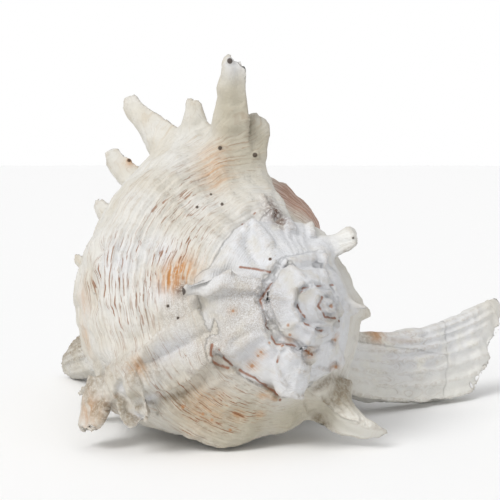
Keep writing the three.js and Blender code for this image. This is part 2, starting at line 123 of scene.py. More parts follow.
# Table of fronds: turn, knot, length, lean to the apex, sweep to the mouth, half width, half depth,
# bend to the mouth, width and depth left at the tip, hollow, ribs, rib height,
# raggedness and slant of the tip
FRONDS = [
    (-0.05, 3.1, 60, -10, -9, 6, 20, -0.27, 0.6, 1.5, 0.12, 33, 0.16, 0.055, 0.11),
    (-0.01, 4.7, 22, -10, 10, 8, 6, 0.1, 0.4, 0.4, 0.7, 5, 0.08, 0.1, 0),
    (0.0, 5.8, 24, -10, 12, 7, 6, 0.1, 0.4, 0.4, 0.7, 5, 0.08, 0.1, 0),
    (0.01, 6.9, 20, -10, 12, 7, 6, 0.1, 0.4, 0.4, 0.7, 5, 0.08, 0.1, 0),
    (0.02, 8.0, 16, -10, 10, 6, 5, 0.1, 0.4, 0.4, 0.7, 5, 0.08, 0.1, 0),
    (0.03, 9.2, 12, -15, 10, 5, 4.5, 0.1, 0.4, 0.4, 0.7, 5, 0.08, 0.1, 0),
    (0.268, 2.7, 30, 0, -13, 9, 10, 0, 0.6, 0.62, 0.5, 7, 0.06, 0.03, 0),
    (0.249, 2.6, 17.5, 0, -3, 7, 12, 0, 0.6, 0.5, 0.5, 5, 0.06, 0.05, 0),
    (0.282, 4.0, 10.5, 20, -10, 8, 9, 0, 0.4, 0.35, 0.5, 5, 0.06, 0.03, 0),
    (0.293, 5.0, 24, -28, -13, 9, 9, 0, 0.45, 0.4, 0.5, 5, 0.06, 0.03, 0),
    (0.302, 6.0, 17, -24, -14, 7, 8, 0, 0.65, 0.55, 0.5, 5, 0.06, 0.05, 0),
    (0.311, 7.0, 15, 0, -12, 7, 6, 0, 0.45, 0.45, 0.5, 5, 0.06, 0.05, 0),
    (0.322, 8.2, 18, -20, -12, 6, 5, 0, 0.4, 0.4, 0.5, 5, 0.06, 0.05, 0),
    (0.58, 2.9, 14, 0, -76, 6.5, 6, 0, 0.75, 0.8, 0.85, 7, 0.08, 0.1, 0),
    (0.59, 4.8, 12, 0, -48, 6.5, -6, 0, 0.8, 0.8, 0.85, 7, 0.08, 0.1, 0),
    (0.605, 6.6, 12, -60, -10, 5, 5, -0.2, 0.6, 0.6, 0.7, 5, 0.08, 0.1, 0),
    (0.62, 8.2, 12, -50, -10, 5, 5, 0, 0.4, 0.4, 0.7, 5, 0.08, 0.1, 0),
    (0.832, 2.2, 23, 12, 32, 7, 16, -0.75, 0.5, 0.35, 0.4, 21, 0.08, 0.06, 0),
    (1.155, 2.3, 9.5, 10, 17, 5, 5, 0, 0.85, 0.85, 0.3, 5, 0.04, 0.03, 0),
    (1.46, 2.9, 9, -40, -20, 5, 5, -0.2, 0.6, 0.6, 0.3, 5, 0.03, 0.03, 0),
    (1.745, 2.2, 7, -45, 0, 3, 6, 0, 1, 0.9, 0.35, 5, 0.05, 0.06, 0),
    (2.03, 2.5, 5, 20, 20, 3, 4, 0, 0.3, 0.3, 0.35, 5, 0.05, 0.03, 0),
]

# Ridges along the ramp: first and last turn, first and last knot,
# half width at both ends, half height at both ends
RIDGES = [
    (1.436, 1.468, 0.7, 3.3, 2.8, 3.4, 2.8, 3.6),
    (0.55, 0.585, 0.6, 3.0, 6, 7.5, 4.5, 6),
    (1.562, 1.592, 0.9, 3.2, 3.2, 4.4, 2.4, 3.2),
    (1.695, 1.75, 0.8, 3.0, 3, 5.2, 2.2, 2.8),
    (1.19, 1.16, 1.0, 2.6, 2.8, 4, 2.4, 3.4),
    (0.262, 0.27, 0.6, 2.8, 9, 12, 2.5, 4),
    (0.84, 0.852, 1.0, 2.5, 4, 6, 3, 4.5),
    (1.03, 1.02, 1.2, 3.0, 2.4, 2.4, 2, 3),
    (1.253, 1.253, 2.3, 3.2, 2, 2, 1.8, 2.2),
    (1.205, 1.205, 2.3, 3.2, 1.6, 1.6, 1.6, 2),
    (1.33, 1.33, 1.6, 3.2, 2.4, 3, 1.4, 2.4),
    (1.88, 1.88, 1.2, 3.1, 1.8, 2.4, 1.4, 2),
    (2.03, 2.02, 1.2, 3.1, 1.6, 2, 1.2, 1.8),
]

# Points of the early whorls: turns, half width over the suture radius, first and last knot;
# then the rings of a ridge and the sides of any round part
SPIRE_POINTS = (2.19, 2.33, 2.48, 2.61, 2.73, 2.87, 3.0, 3.15, 3.3)
SPIRE_RIDGE = 0.13
SPIRE_KNOTS = (1.2, 3.1)
RIDGE_RINGS = 50
ROUND_SIDES = 32

# Fronds: length sunk in the whorl, power of the taper, grid, edge power of a flat one and its
# least depth over its width, lift of its corner, and the rounding of the tip
FROND_ROOT = 5
FROND_TAPER = 1.3
FROND_RINGS = 70
FROND_SIDES = 192
PLATE_EDGE = 0.55
PLATE_RATIO = 2.2
TIP_LIFT = 2.4
TIP_FROM = 0.93
TIP_LENGTH = 0.07
TIP_DROP = 0.3

# Mouth: wall left under the outside, reach of the room behind the lip in turns and its steps,
# knots of its outer side, its columella side as radius over the shoulder radius and share of the
# depth, points on each side, and how far its middle moves out as it narrows
WALL = 4.2
MOUTH_TURNS = 0.36
MOUTH_STEPS = 90
MOUTH_OUTER_KNOTS = np.array([2.3, 2.7, 3.2, 4, 5, 6, 6.8, 7.4])
MOUTH_INNER = np.array([[0.36, 0.97], [0.3, 0.78], [0.3, 0.52], [0.36, 0.26], [0.48, 0.08]])
MOUTH_POINTS = 57
MOUTH_NARROWING = 6

# Slit of the canal: depth of its start, length, distance from the axis and how much of it is lost,
# its sides over the half width, its reach to both sides of the lip, and its half width; then the
# sideways bend of the canal
CANAL_FROM = 112
CANAL_LENGTH = 72
CANAL_OUT = 14
CANAL_INWARD = 11
CANAL_SIDES = np.array([-1, 1, 1.2, -1.2])[None, :, None]
CANAL_REACH = np.array([-3, -3, 26, 26])[None, :, None]
CANAL_HALF_WIDTH = 1.7
CANAL_BEND_FROM = 120
CANAL_BEND_LENGTH = 70
CANAL_BEND = 6.5

# Pillar: radius at the tip and how it grows with the depth, its full radius, how much it thins
# along the canal, from which depth and over what length
PILLAR_TIP = 0.8
PILLAR_GROWTH = 0.5
PILLAR_RADIUS = 9
PILLAR_THINNING = 5
PILLAR_FULL_TO = 135
PILLAR_THIN_LENGTH = 50
PILLAR_RINGS = 60

# Ball at the tip of the spire: radius and depth of its middle
BALL_RADIUS = 2.9
BALL_DEPTH = 2.6
BALL_RINGS = 24

# Stretches of the whorls: first and last turn, step, and for the early ones whether the profile
# is whole and the fillet; then the knots of both profiles, and the turn that parts the fronds of
# the last whorl from the earlier ones
BODY_WHORL = (LIP_TURN, 0.97, 0.003)
EARLY_WHORLS = [
    (0.94, 1.5, 0.004, True, 0.8), (1.45, 2.4, 0.006, False, 0.5), (2.35, 3.3, 0.01, False, 0.4),
    (3.25, 4.15, 0.01, False, 0.3), (4.1, LAST_TURN, 0.02, False, 0.2),
]
WHOLE_PROFILE = np.linspace(0, LAST_KNOT, 181)
UPPER_PROFILE = np.linspace(0, 5, 81)
LAST_WHORL_UNTIL = 0.95

# Fillets of the parts where they join, in millimetres; a ridge's goes by its half width
RIDGE_FILLET_SHARE = 0.4
RIDGE_FILLETS = (0.8, 4.5)
MOUTH_FILLET = 1.5
SPIRE_FILLET = 0.6
EARLY_FROND_FILLET = 1.5
PILLAR_FILLET = 1.0
BALL_FILLET = 0.5
CANAL_FILLET = 0.8

# How the shell lies: yaw and rise of the apex as seen, the viewing height taken out again,
# and where the apex comes on the ground frame
YAW = np.radians(32)
RISE = np.radians(8)
LOOK_DOWN = np.radians(5)
APEX = np.array([12.056, -73.760, 46.770])

# Camera: size of a pixel at the apex, distance to the apex in pixels, the pixel where the apex
# shows, and the width of picture and sensor
PIXEL_MM = 0.29
CAMERA_PIXELS = 1430
APEX_PIXEL = (329.5, 305.0)
IMAGE_PIXELS = 500
SENSOR_MM = 36

# Stage: the floor, the surround's strength overhead and the heights between which it dims, and
# the lights, each with its name, where it stands, its angle in degrees and its power
FLOOR_HALF = 3.0
FLOOR_WHITE = (0.95, 0.95, 0.95, 1)
FLOOR_ROUGHNESS = 0.9
CEILING = 0.52
DIM_FROM = 0.12
DIM_TO = 0.24
LIGHTS = [
    ("window left", (-0.6, -0.75, 0.85), 26, 1.75),
    ("window above", (0.1, -0.3, 1.0), 60, 0.4),
]

# Grid of the fused body, its margin in steps, the fillet of the fronds, the margin kept inside the
# solid's box, how many triangles are kept, how dense the far side stays, how that grows as the
# skin turns to the camera, and the steps of that share
GRID_MM = 0.5
GRID_MARGIN = 8
BLEND_MM = 3.0
BOX_MARGIN_MM = 0.01
KEPT_TRIANGLES = 192000
FAR_SHARE = 0.4
FAR_START = 0.35
FAR_SLOPE = 2.5
SHARE_STEPS = 8

# Fine relief of the skin in millimetres: cells and heights of the lumps, cords and how far they
# wander, growth folds, finer cords of the bump, how folds wander and slant, the least size near
# the tip, how far off the whorl sizes are whole again and cords and folds reach, cells of the
# wandering, and seeds
LUMPS = ((11, 0.8), (5, 0.6), (2.4, 0.3))
CORD_STEP = 2.9
CORD_HEIGHT = 0.2
CORD_WANDER = 0.25
FOLD_HEIGHT = 0.4
FOLDS_PER_TURN = 110
FINE_CORD_STEP = 1.45
FOLD_WANDER = 0.006
FOLD_SLANT = 0.0004
LEAST_SIZE = 0.1
OFF_WHORL_MM = 4
OFF_FADE_MM = 5
CORD_REACH_MM = 3
WANDER_CELL = 14
WANDER_SEED = 9
FOLD_SEED = 4

# Table of the whorls: turns, knots, how many points are placed at a time, and revolutions tried
TABLE_TURNS = 700
TABLE_KNOTS = 49
POINTS_AT_A_TIME = 40000
REVOLUTIONS = 5

# Colours of the skin
CREAM = (0.68, 0.665, 0.625, 1)
CREAM_DEEP = (0.62, 0.585, 0.51, 1)
# Painted light: pale colour that lightens the fan beyond what the lamps give it
PAINTED_LIGHT_PALE = (0.80, 0.79, 0.74, 1)
TAN = (0.50, 0.40, 0.28, 1)
TAN_DEEP = (0.36, 0.28, 0.19, 1)
CHALK = (0.685, 0.69, 0.705, 1)
POWDER = (0.77, 0.78, 0.80, 1)
HONEY = (0.62, 0.44, 0.25, 1)
ORANGE = (0.50, 0.22, 0.06, 1)
RUST = (0.25, 0.09, 0.03, 1)
SAND = (0.36, 0.31, 0.26, 1)
# Painted shade mixed with grime, laid on the skin that faces down near the floor
SHADE_GRIME = (0.24, 0.185, 0.12, 1)
OLIVE = (0.47, 0.43, 0.33, 1)
UMBER = (0.10, 0.04, 0.02, 1)
PINK = (0.52, 0.34, 0.27, 1)
PINK_LINE = (0.30, 0.14, 0.09, 1)
SUTURE_RED = (0.30, 0.11, 0.05, 1)
SPOT_ORANGE = (0.42, 0.18, 0.06, 1)
# Painted shade: near-black dots inside the pits
PAINTED_PIT_SHADE = (0.05, 0.03, 0.02, 1)

# Finish of the skin: length of a turn as the streaks see it, shine, strength and depth of the
# bump, size of a pit's painted shade over the pit, and rounds that spread the hollowness
SKIN_MM_PER_TURN = 150.0
SKIN_ROUGHNESS = 0.62
SKIN_SPECULAR = 0.35
BUMP_STRENGTH = 0.75
BUMP_METRES = 0.001
PIT_SHADE = 0.8
HOLLOW_ROUNDS = 3

# Chalk of the spire: strength, the turn where it starts and how fast it grows
WORN_STRENGTH = 0.5
WORN_FROM = 1.15
WORN_SLOPE = 3

# Painted shade and grime of the underside: strength, how it starts and grows as the skin turns
# down, the height it reaches and fades over, and how it starts, fades and stays off the whorl
SHADE_GRIME_STRENGTH = 0.9
SHADE_GRIME_START = 0.3
SHADE_GRIME_SLOPE = 1.6
SHADE_GRIME_TOP_MM = 34
SHADE_GRIME_FADE_MM = 14
SHADE_GRIME_OFF_START = 1.6
SHADE_GRIME_OFF_MM = 8
SHADE_GRIME_LEAST = 0.1

# Marks of the skin, each by the pixel of the picture where it shows.
# Holes and hollows: x, y, size and depth in millimetres, and the spread over the size
PIT_SPREAD = 0.7
PITS = [
    (230, 61, 1.1, 2.4), (220, 148, 0.8, 1.4), (255, 155, 0.9, 1.6), (211, 194, 0.5, 0.8),
    (222, 204, 0.6, 1.0), (197, 207, 0.5, 0.8), (353, 238, 0.4, 0.8), (129, 160, 0.8, 0.7),
    (249, 97, 0.9, 1.0), (249, 106, 0.8, 0.8), (182, 291, 1.5, 1.4), (168, 306, 0.5, 0.7),
    (178, 318, 0.5, 0.7), (270, 259, 0.5, 0.6),
]
# Soft patches: x, y, spread in millimetres, strength
ORANGE_PATCHES = [
    (180, 272, 3.6, 1.0), (172, 280, 2.6, 0.9), (129, 160, 1.6, 0.9), (137, 367, 2.0, 0.7),
    (110, 415, 4.5, 0.8), (92, 410, 3.5, 0.6), (375, 333, 2.6, 0.8), (360, 331, 2.0, 0.5),
    (84, 300, 4.0, 0.35), (86, 340, 4.0, 0.35), (215, 160, 4.2, 0.4), (215, 178, 3.4, 0.4),
    (270, 392, 1.2, 0.6), (262, 396, 1.0, 0.6), (275, 400, 1.0, 0.6), (260, 415, 1.2, 0.5),
    (238, 415, 1.4, 0.6), (261, 354, 1.2, 0.6), (252, 366, 1.2, 0.7), (290, 338, 1.2, 0.6),
    (335, 338, 1.0, 0.6), (335, 367, 1.0, 0.6), (233, 311, 1.0, 0.5), (102, 186, 2.0, 0.4),
    (205, 405, 5.0, 0.5), (310, 353, 1.2, 0.8), (327, 234, 1.0, 0.5),
]
STREAK_PATCHES = [
    (148, 250, 4.5, 1.0), (142, 285, 4.5, 1.0), (172, 250, 4.0, 0.9), (105, 250, 5.0, 0.9),
    (92, 285, 6.0, 0.8), (105, 300, 6.0, 0.7), (120, 320, 7.0, 0.6), (175, 225, 5.0, 1.0),
    (170, 170, 7.0, 0.45), (150, 200, 7.0, 0.5), (215, 165, 6.0, 0.5), (195, 245, 6.0, 0.4),
    (200, 405, 7.0, 1.0), (220, 418, 6.0, 0.9), (180, 395, 6.0, 1.0), (190, 368, 4.0, 0.8),
    (250, 410, 7.0, 0.6), (110, 390, 7.0, 0.5), (240, 140, 6.0, 0.3), (290, 205, 7.0, 0.8),
    (145, 345, 7.0, 0.35), (405, 370, 12.0, 0.25), (190, 200, 7.0, 0.5),
]
SAND_PATCHES = [
    (180, 305, 3.6, 1.0), (176, 318, 3.0, 0.7), (245, 300, 5.0, 0.9), (262, 315, 4.0, 0.8),
    (240, 325, 4.0, 0.8), (218, 343, 4.5, 0.7), (190, 345, 5.0, 0.4), (235, 285, 4.0, 0.5),
    (205, 350, 4.0, 0.6), (275, 300, 3.0, 0.5), (258, 285, 3.0, 0.5), (160, 330, 4.0, 0.3),
]
CHALK_PATCHES = [
    (290, 240, 9.0, 1.0), (260, 235, 7.0, 0.9), (320, 255, 8.0, 1.0), (300, 290, 9.0, 1.0),
    (320, 330, 8.0, 1.0), (330, 300, 8.0, 1.0), (115, 262, 4.5, 0.8), (155, 247, 3.6, 0.7),
    (165, 292, 3.4, 0.7), (165, 260, 3.0, 0.5), (232, 62, 3.0, 0.9), (250, 350, 5.0, 0.4),
    (225, 275, 5.0, 0.4), (300, 370, 6.0, 0.6), (330, 350, 6.0, 0.7), (122, 388, 1.6, 0.9),
    (149, 398, 1.6, 0.9), (140, 417, 1.6, 0.9), (165, 352, 3.5, 0.8), (185, 342, 4.0, 0.7),
    (395, 355, 9.0, 0.7), (430, 345, 9.0, 0.7), (465, 330, 9.0, 0.7), (355, 355, 5.0, 0.5),
]
# Painted light: pale patches that lighten the fan and a few other spots
PAINTED_LIGHT_PATCHES = [
    (385, 362, 16.0, 0.9), (425, 362, 16.0, 0.9), (462, 350, 16.0, 0.8), (350, 418, 8.0, 0.8),
    (346, 239, 4.0, 0.9),
]
OLIVE_PATCHES = [
    (232, 90, 5.0, 0.8), (233, 120, 5.5, 0.9), (240, 150, 6.0, 0.7), (258, 140, 5.0, 0.8),
    (225, 175, 6.0, 0.5), (380, 355, 9.0, 0.25), (325, 410, 6.0, 0.6), (345, 395, 5.0, 0.5),
    (134, 395, 2.4, 0.8), (195, 120, 5.0, 0.3), (205, 410, 9.0, 0.6), (260, 420, 8.0, 0.5),
    (235, 432, 6.0, 1.0), (180, 412, 4.0, 0.5), (290, 420, 4.0, 0.8),
]
PINK_PATCHES = [
    (300, 200, 6.0, 1.0), (312, 212, 5.0, 1.0), (285, 195, 5.0, 0.8), (318, 222, 3.0, 1.0),
]
UMBER_PATCHES = [
    (275, 212, 2.8, 1.0), (280, 222, 2.0, 0.9), (268, 200, 1.6, 0.6), (180, 288, 1.6, 0.9),
    (110, 408, 1.8, 0.4), (190, 372, 0.9, 0.5),
]
# Thin lines: half width in millimetres and the pixels along them. A stretch longer than the
# longest one would jump from one fold of the skin to another, and is left out
LONGEST_STRETCH = 14
RED_LINES = [
    (0.24, [(322, 297), (318, 306), (325, 317), (335, 318)]),
    (0.22, [(303, 288), (297, 306), (304, 316), (305, 324), (321, 331), (339, 321)]),
    (0.12, [(303, 288), (318, 286), (333, 285)]),
    (0.2, [(270, 272), (272, 283), (260, 300), (267, 328), (272, 338), (276, 344), (292, 345),
           (305, 350), (312, 355)]),
    (0.16, [(240, 267), (255, 269), (270, 272)]),
    (0.12, [(242, 225), (255, 213)]),
    (0.3, [(212, 345), (211, 355), (215, 363), (228, 368)]),
    (0.24, [(219, 350), (224, 358), (232, 365)]),
    (0.28, [(240, 370), (255, 378), (275, 392), (280, 400)]),
    (0.2, [(283, 345), (277, 362)]),
    (0.18, [(300, 395), (305, 412)]),
]
# Welts and grooves: spread and height in millimetres, and the pixels along them
WELTS = [
    (0.7, 1.5, [(135, 366), (124, 372), (120, 384), (118, 393), (126, 400), (128, 411), (140, 418),
                (150, 420), (157, 414), (154, 405), (147, 395), (143, 384), (137, 374),
                (135, 366)]),
    (3.4, 5.0, [(204, 332), (185, 345), (167, 354), (152, 358)]),
    (1.0, 1.2, [(100, 399), (88, 412), (83, 424), (92, 431)]),
    (1.2, 2.4, [(268, 276), (250, 273), (230, 268), (212, 275), (195, 286)]),
    (2.2, 1.4, [(236, 342), (246, 338), (257, 334)]),
    (1.6, 1.6, [(258, 262), (248, 240), (250, 222)]),
    (2.2, 2.0, [(95, 250), (98, 270), (92, 300)]),
    (0.6, 1.4, [(300, 288), (298, 306), (303, 320), (320, 331), (337, 320), (338, 300), (332, 286),
                (318, 285), (300, 288)]),
    (0.5, 1.2, [(322, 299), (320, 308), (326, 315), (334, 315), (338, 308), (336, 300), (329, 297),
                (322, 299)]),
    (0.9, 1.7, [(283, 262), (266, 280), (263, 298), (272, 322), (280, 340), (292, 343), (308, 351),
                (318, 353)]),
    (0.9, 1.6, [(287, 258), (302, 266), (322, 262), (331, 278)]),
    (1.0, 1.2, [(283, 347), (305, 352), (312, 372), (306, 394)]),
    (0.8, 1.0, [(258, 217), (275, 221), (295, 219), (320, 226), (336, 231)]),
    (0.9, 0.8, [(345, 302), (340, 320), (336, 338), (338, 355), (336, 368)]),
]
GROOVES = [
    (0.45, 1.0, [(318, 297), (315, 306), (321, 318), (331, 321), (340, 315)]),
    (0.4, 0.9, [(324, 303), (327, 309), (333, 310), (335, 305), (331, 302)]),
    (0.5, 1.2, [(303, 284), (294, 292), (293, 307), (300, 318), (304, 327), (321, 336),
                (338, 325)]),
    (0.5, 1.1, [(275, 262), (268, 274), (258, 288), (256, 300), (263, 328), (268, 340), (276, 348),
                (290, 348)]),
    (0.4, 0.8, [(240, 267), (255, 268), (270, 268)]),
    (0.7, 1.4, [(210, 342), (207, 355), (213, 366), (228, 371), (244, 373), (258, 384),
                (275, 397)]),
    (1.1, 2.4, [(200, 314), (178, 325), (158, 338), (143, 347)]),
    (1.3, 2.4, [(208, 354), (194, 366), (183, 380), (167, 386)]),
    (1.0, 1.6, [(262, 288), (240, 286), (222, 284), (205, 292)]),
    (1.1, 2.2, [(131, 384), (134, 396), (140, 408)]),
    (1.6, 1.6, [(105, 408), (118, 408), (98, 418)]),
    (0.5, 1.0, [(283, 345), (278, 362), (282, 380), (296, 396)]),
    (0.7, 1.6, [(262, 198), (270, 214), (282, 222)]),
    (0.5, 0.8, [(300, 372), (318, 368), (330, 372)]),
    (0.6, 1.0, [(300, 395), (303, 405), (306, 413)]),
]
# Bumps: x, y, spread and height in millimetres
BUMPS = [
    (301, 288, 0.8, 1.1), (297, 306, 0.8, 1.3), (304, 322, 0.7, 1.0), (321, 331, 0.8, 1.3),
    (337, 319, 0.8, 1.1), (333, 286, 0.8, 1.1), (331, 306, 0.9, 1.1), (287, 259, 1.3, 2.0),
    (322, 263, 1.2, 1.8), (263, 298, 1.3, 2.0), (272, 326, 1.1, 1.4), (284, 331, 1.0, 1.3),
    (309, 353, 1.1, 1.8), (335, 339, 1.1, 1.7), (335, 367, 1.1, 1.7), (295, 218, 1.2, 1.8),
    (320, 226, 1.1, 1.4), (252, 216, 1.6, 2.0), (279, 342, 0.9, 1.1), (150, 350, 1.8, 1.4),
    (240, 332, 2.2, 1.4), (252, 360, 2.0, 1.5), (96, 245, 2.2, 2.0), (215, 98, 1.2, 0.7),
]
# Spots: x, y and size in millimetres
SPOTS = [
    (331, 306, 0.63), (270, 259, 0.42), (288, 325, 0.35), (290, 335, 0.42), (282, 346, 0.35),
    (261, 352, 0.35), (258, 356, 0.35), (252, 366, 0.49), (269, 343, 0.35), (233, 311, 0.35),
    (183, 407, 0.42), (203, 414, 0.42), (212, 420, 0.42), (230, 430, 0.42), (308, 353, 0.42),
    (335, 340, 0.35), (336, 367, 0.42), (129, 160, 0.56), (183, 278, 0.56), (176, 268, 0.49),
]


def smooth_table(table, column, x):
    """Cubic through the table's rows, each slope the rise over run of its two neighbours."""
    xs, ys = table[:, 0], table[:, column]
    before = np.maximum(np.arange(len(xs)) - 1, 0)
    after = np.minimum(np.arange(len(xs)) + 1, len(xs) - 1)
    slope = (ys[after] - ys[before]) / (xs[after] - xs[before])
    x = np.clip(x, xs[0], xs[-1])
    i = np.clip(np.searchsorted(xs, x, side="right") - 1, 0, len(xs) - 2)
    step = xs[i + 1] - xs[i]
    t = (x - xs[i]) / step
    return ((2 * t**3 - 3 * t**2 + 1) * ys[i] + (t**3 - 2 * t**2 + t) * step * slope[i]
            + (3 * t**2 - 2 * t**3) * ys[i + 1] + (t**3 - t**2) * step * slope[i + 1])


def suture(turn):
    """Radius r falls by the growth law exp(-g t - c t^2), and the depth is r times a slow
    factor."""
    r = SUTURE_RADIUS * np.exp(-GROWTH * turn - GROWTH_CHANGE * turn**2)
    return r, r * (SUTURE_DEPTH + SUTURE_DEPTH_AT_LIP * np.exp(-turn / DEPTH_FADE))


def shoulder(turn):
    """Radius and depth of the shoulder, from the suture and the table."""
    r, h = suture(turn)
    R = r * smooth_table(SHOULDER, 1, turn)
    return R, h + (R - r) * smooth_table(SHOULDER, 2, turn)


def swelling(turn, knots):
    """One plus a bump for each varix, steep in front and soft behind, and for each knob."""
    late = VARIX_SLANT * (knots - SHOULDER_KNOT)
    varix = np.zeros(np.broadcast(turn, knots).shape)
    for at, height in VARICES:
        d = turn - late - at
        varix += height * np.where(d > 0, np.exp(-(np.abs(d) / VARIX_BACK)**VARIX_BACK_POWER),
                                   np.exp(-(d / VARIX_FRONT)**2))
    knob = np.zeros_like(turn)
    for at in NODES:
        knob = knob + np.exp(-((turn - at) / NODE_WIDTH)**2)
    varix_share = np.interp(knots, np.arange(LAST_KNOT + 1), VARIX_BY_KNOT)
    knob_share = np.interp(knots, np.arange(LAST_KNOT + 1), NODE_BY_KNOT)
    return 1 + varix * varix_share + NODE_HEIGHT * knob * knob_share


def profile(turn, knots):
    """Radius and depth at a knot number: a Catmull-Rom curve through thirteen knots of the turn."""
    turn, knots = np.broadcast_arrays(np.asarray(turn, float), np.asarray(knots, float))
    r, h = suture(turn)
    R, H = shoulder(turn)
    R0, H0 = shoulder(np.zeros_like(turn))
    near = np.clip((STEADY_UNTIL - turn) * STEADY_FADE, 0, 1)
    rows = [(r * TUCKED_RADIUS, h - TUCKED_RISE * r), (r, h + SUTURE_DIP * r),
            (r + RAMP_OUT * (R - r), h + RAMP_DOWN * (H - h) + RAMP_DIP * r), (R, H)]
    for a, b, steady in BODY:
        q = steady * near
        rows.append((a * (R * (1 - q) + R0 * q), (H + b * R) * (1 - q) + (H0 + b * R0) * q))
    table = np.array([[row[0] * swelling(turn, np.full_like(turn, k)), row[1]]
                      for k, row in enumerate(rows)])
    i = np.clip(knots.astype(int), 0, LAST_KNOT - 1)
    t = knots - i

    def knot(j):
        j = np.clip(j, 0, LAST_KNOT)
        return np.take_along_axis(table, j[None, None], 0)[0]

    p0, p1, p2, p3 = knot(i - 1), knot(i), knot(i + 1), knot(i + 2)
    return 0.5 * (2 * p1 + (p2 - p0) * t + (2 * p0 - 5 * p1 + 4 * p2 - p3) * t**2
                  + (3 * p1 - p0 - 3 * p2 + p3) * t**3)


def canal_shift(depth):
    """Sideways bend of the canal end, growing with the square of the depth."""
    return -CANAL_BEND * (np.maximum(depth - CANAL_BEND_FROM, 0) / CANAL_BEND_LENGTH)**2


def place(turn, radius, depth):
    """Point at a turn, radius and depth: a circle about the axis, and minus the depth along it."""
    a = LIP_ANGLE + FULL_TURN * turn
    return np.stack([radius * np.cos(a), radius * np.sin(a) + canal_shift(depth),
                     np.broadcast_to(-depth, np.shape(a * depth))], -1)


def surface(turn, knots):
    """Point of the whorl's outside at a turn and a knot number."""
    radius, depth = profile(turn, knots)
    return place(np.asarray(turn, float), radius, depth)


def unit(v):
    """v over its length."""
    return v / np.linalg.norm(v, axis=-1, keepdims=True)


def loft(rings, cap):
    """Closed sides from ring to ring of a grid, and both ends filled by the quads of one ring."""
    count, sides = rings.shape[:2]
    i, j = np.meshgrid(np.arange(count - 1), np.arange(sides), indexing="ij")
    k = (j + 1) % sides
    quads = np.stack([i * sides + j, (i + 1) * sides + j, (i + 1) * sides + k, i * sides + k], -1)
    ends = np.concatenate([cap, cap[:, ::-1] + (count - 1) * sides])
    return rings.reshape(-1, 3), np.concatenate([quads.reshape(-1, 4), ends])


def strip_cap(sides):
    """Quads that join each point of a ring to the one across it, for a ring of an even count."""
    j = np.arange(sides // 2 - 1)
    return np.stack([j, j + 1, sides - 2 - j, sides - 1 - j], -1)


def whorl_stretch(first, last, step, knots):
    """Whorl from turn to turn: the outside's points, then the same depths back along the core."""
    turns = np.linspace(first, last, int((last - first) / step) + 2)[:, None]
    radius, depth = profile(turns, knots[None, :])
    core = np.minimum(CORE_RADIUS, CORE_SHARE * radius[:, :1]) * np.ones_like(radius)
    ring_radius = np.concatenate([radius, core[:, ::-1]], 1)
    ring_depth = np.concatenate([depth, depth[:, ::-1]], 1)
    rings = place(turns * np.ones_like(ring_radius), ring_radius, ring_depth)
    return loft(rings, strip_cap(rings.shape[1]))


def frond_axes(turn, knot):
    """Outward, apexward and mouthward directions at the root of a frond."""
    a = LIP_ANGLE + FULL_TURN * turn
    outward = np.array([np.cos(a), np.sin(a), 0])
    mouthward = np.array([np.sin(a), -np.cos(a), 0])
    along = unit(surface(turn, knot - 0.01) - surface(turn, knot + 0.01))
    normal = unit(np.cross(along, mouthward))
    normal = normal * np.sign(normal @ outward)
    return unit(normal + outward), np.array([0, 0, 1.0]), mouthward


def frond_line(row):
    """Root, heading and bend of a frond: the middle line is root + heading w + bend w squared."""
    turn, knot, length, lean, sweep = row[:5]
    bend = row[7]
    normal, apexward, mouthward = frond_axes(turn, knot)
    lean, sweep = np.radians(lean), np.radians(sweep)
    heading = unit((normal * np.cos(lean) + apexward * np.sin(lean)) * np.cos(sweep)
                   + mouthward * np.sin(sweep))
    reach = length + FROND_ROOT
    across = unit(np.cross(mouthward, heading))
    face = unit(np.cross(heading, across))
    root = surface(turn, knot) - heading * FROND_ROOT
    return root, heading * reach, mouthward * reach * bend, across, face


def frond(row):
    """Gutter carried along its middle line: an ellipse with a hollowed front, ribbed by a cosine of
    the angle and thinning with a power of 1-w; a slower cosine cuts back the tip for its ragged
    edge, a sine slants it, and a flat frond has blunt edges and one corner lifted by w^4."""
    wide, deep = row[5:7]
    tip_wide, tip_deep, hollow, ribs, rib_height, ragged, slant = row[8:]
    root, heading, bend, across, face = frond_line(row)
    w = np.linspace(0, 1, FROND_RINGS)[:, None, None]
    a = (np.arange(FROND_SIDES) + 0.5)[None, :, None] * FULL_TURN / FROND_SIDES
    s = np.sin(a)
    comb = np.cos(ribs * a)
    notch = 0.5 + 0.5 * np.cos(max(ribs // 3, 4) * a + 1)
    at = w * (1 - ragged * w**3 * notch - slant * w * s)
    plate = PLATE_EDGE if deep > PLATE_RATIO * wide else 1
    side = np.sign(np.cos(a)) * np.abs(np.cos(a))**plate
    lift = TIP_LIFT * slant * w**4 * np.minimum(s, 0)
    taper = (1 - w)**FROND_TAPER
    end = 1 - TIP_DROP * np.clip((w - TIP_FROM) / TIP_LENGTH, 0, 1)**2
    rib = 1 + rib_height * comb * np.clip(w * 2, 0, 1)
    groove = np.where(s > 0, 0.1 * s - hollow * s**2, s)
    centre = root + heading * at + bend * at**2
    rings = (centre + across * wide * end * rib * (tip_wide + (1 - tip_wide) * taper) * side
             + face * deep * end * (tip_deep + (1 - tip_deep) * taper) * (groove + lift + 0.15))
    return loft(rings, strip_cap(FROND_SIDES))


def round_angles():
    """Angles of a round part's sides, along the middle of three axes."""
    return np.arange(ROUND_SIDES)[None, :, None] * FULL_TURN / ROUND_SIDES


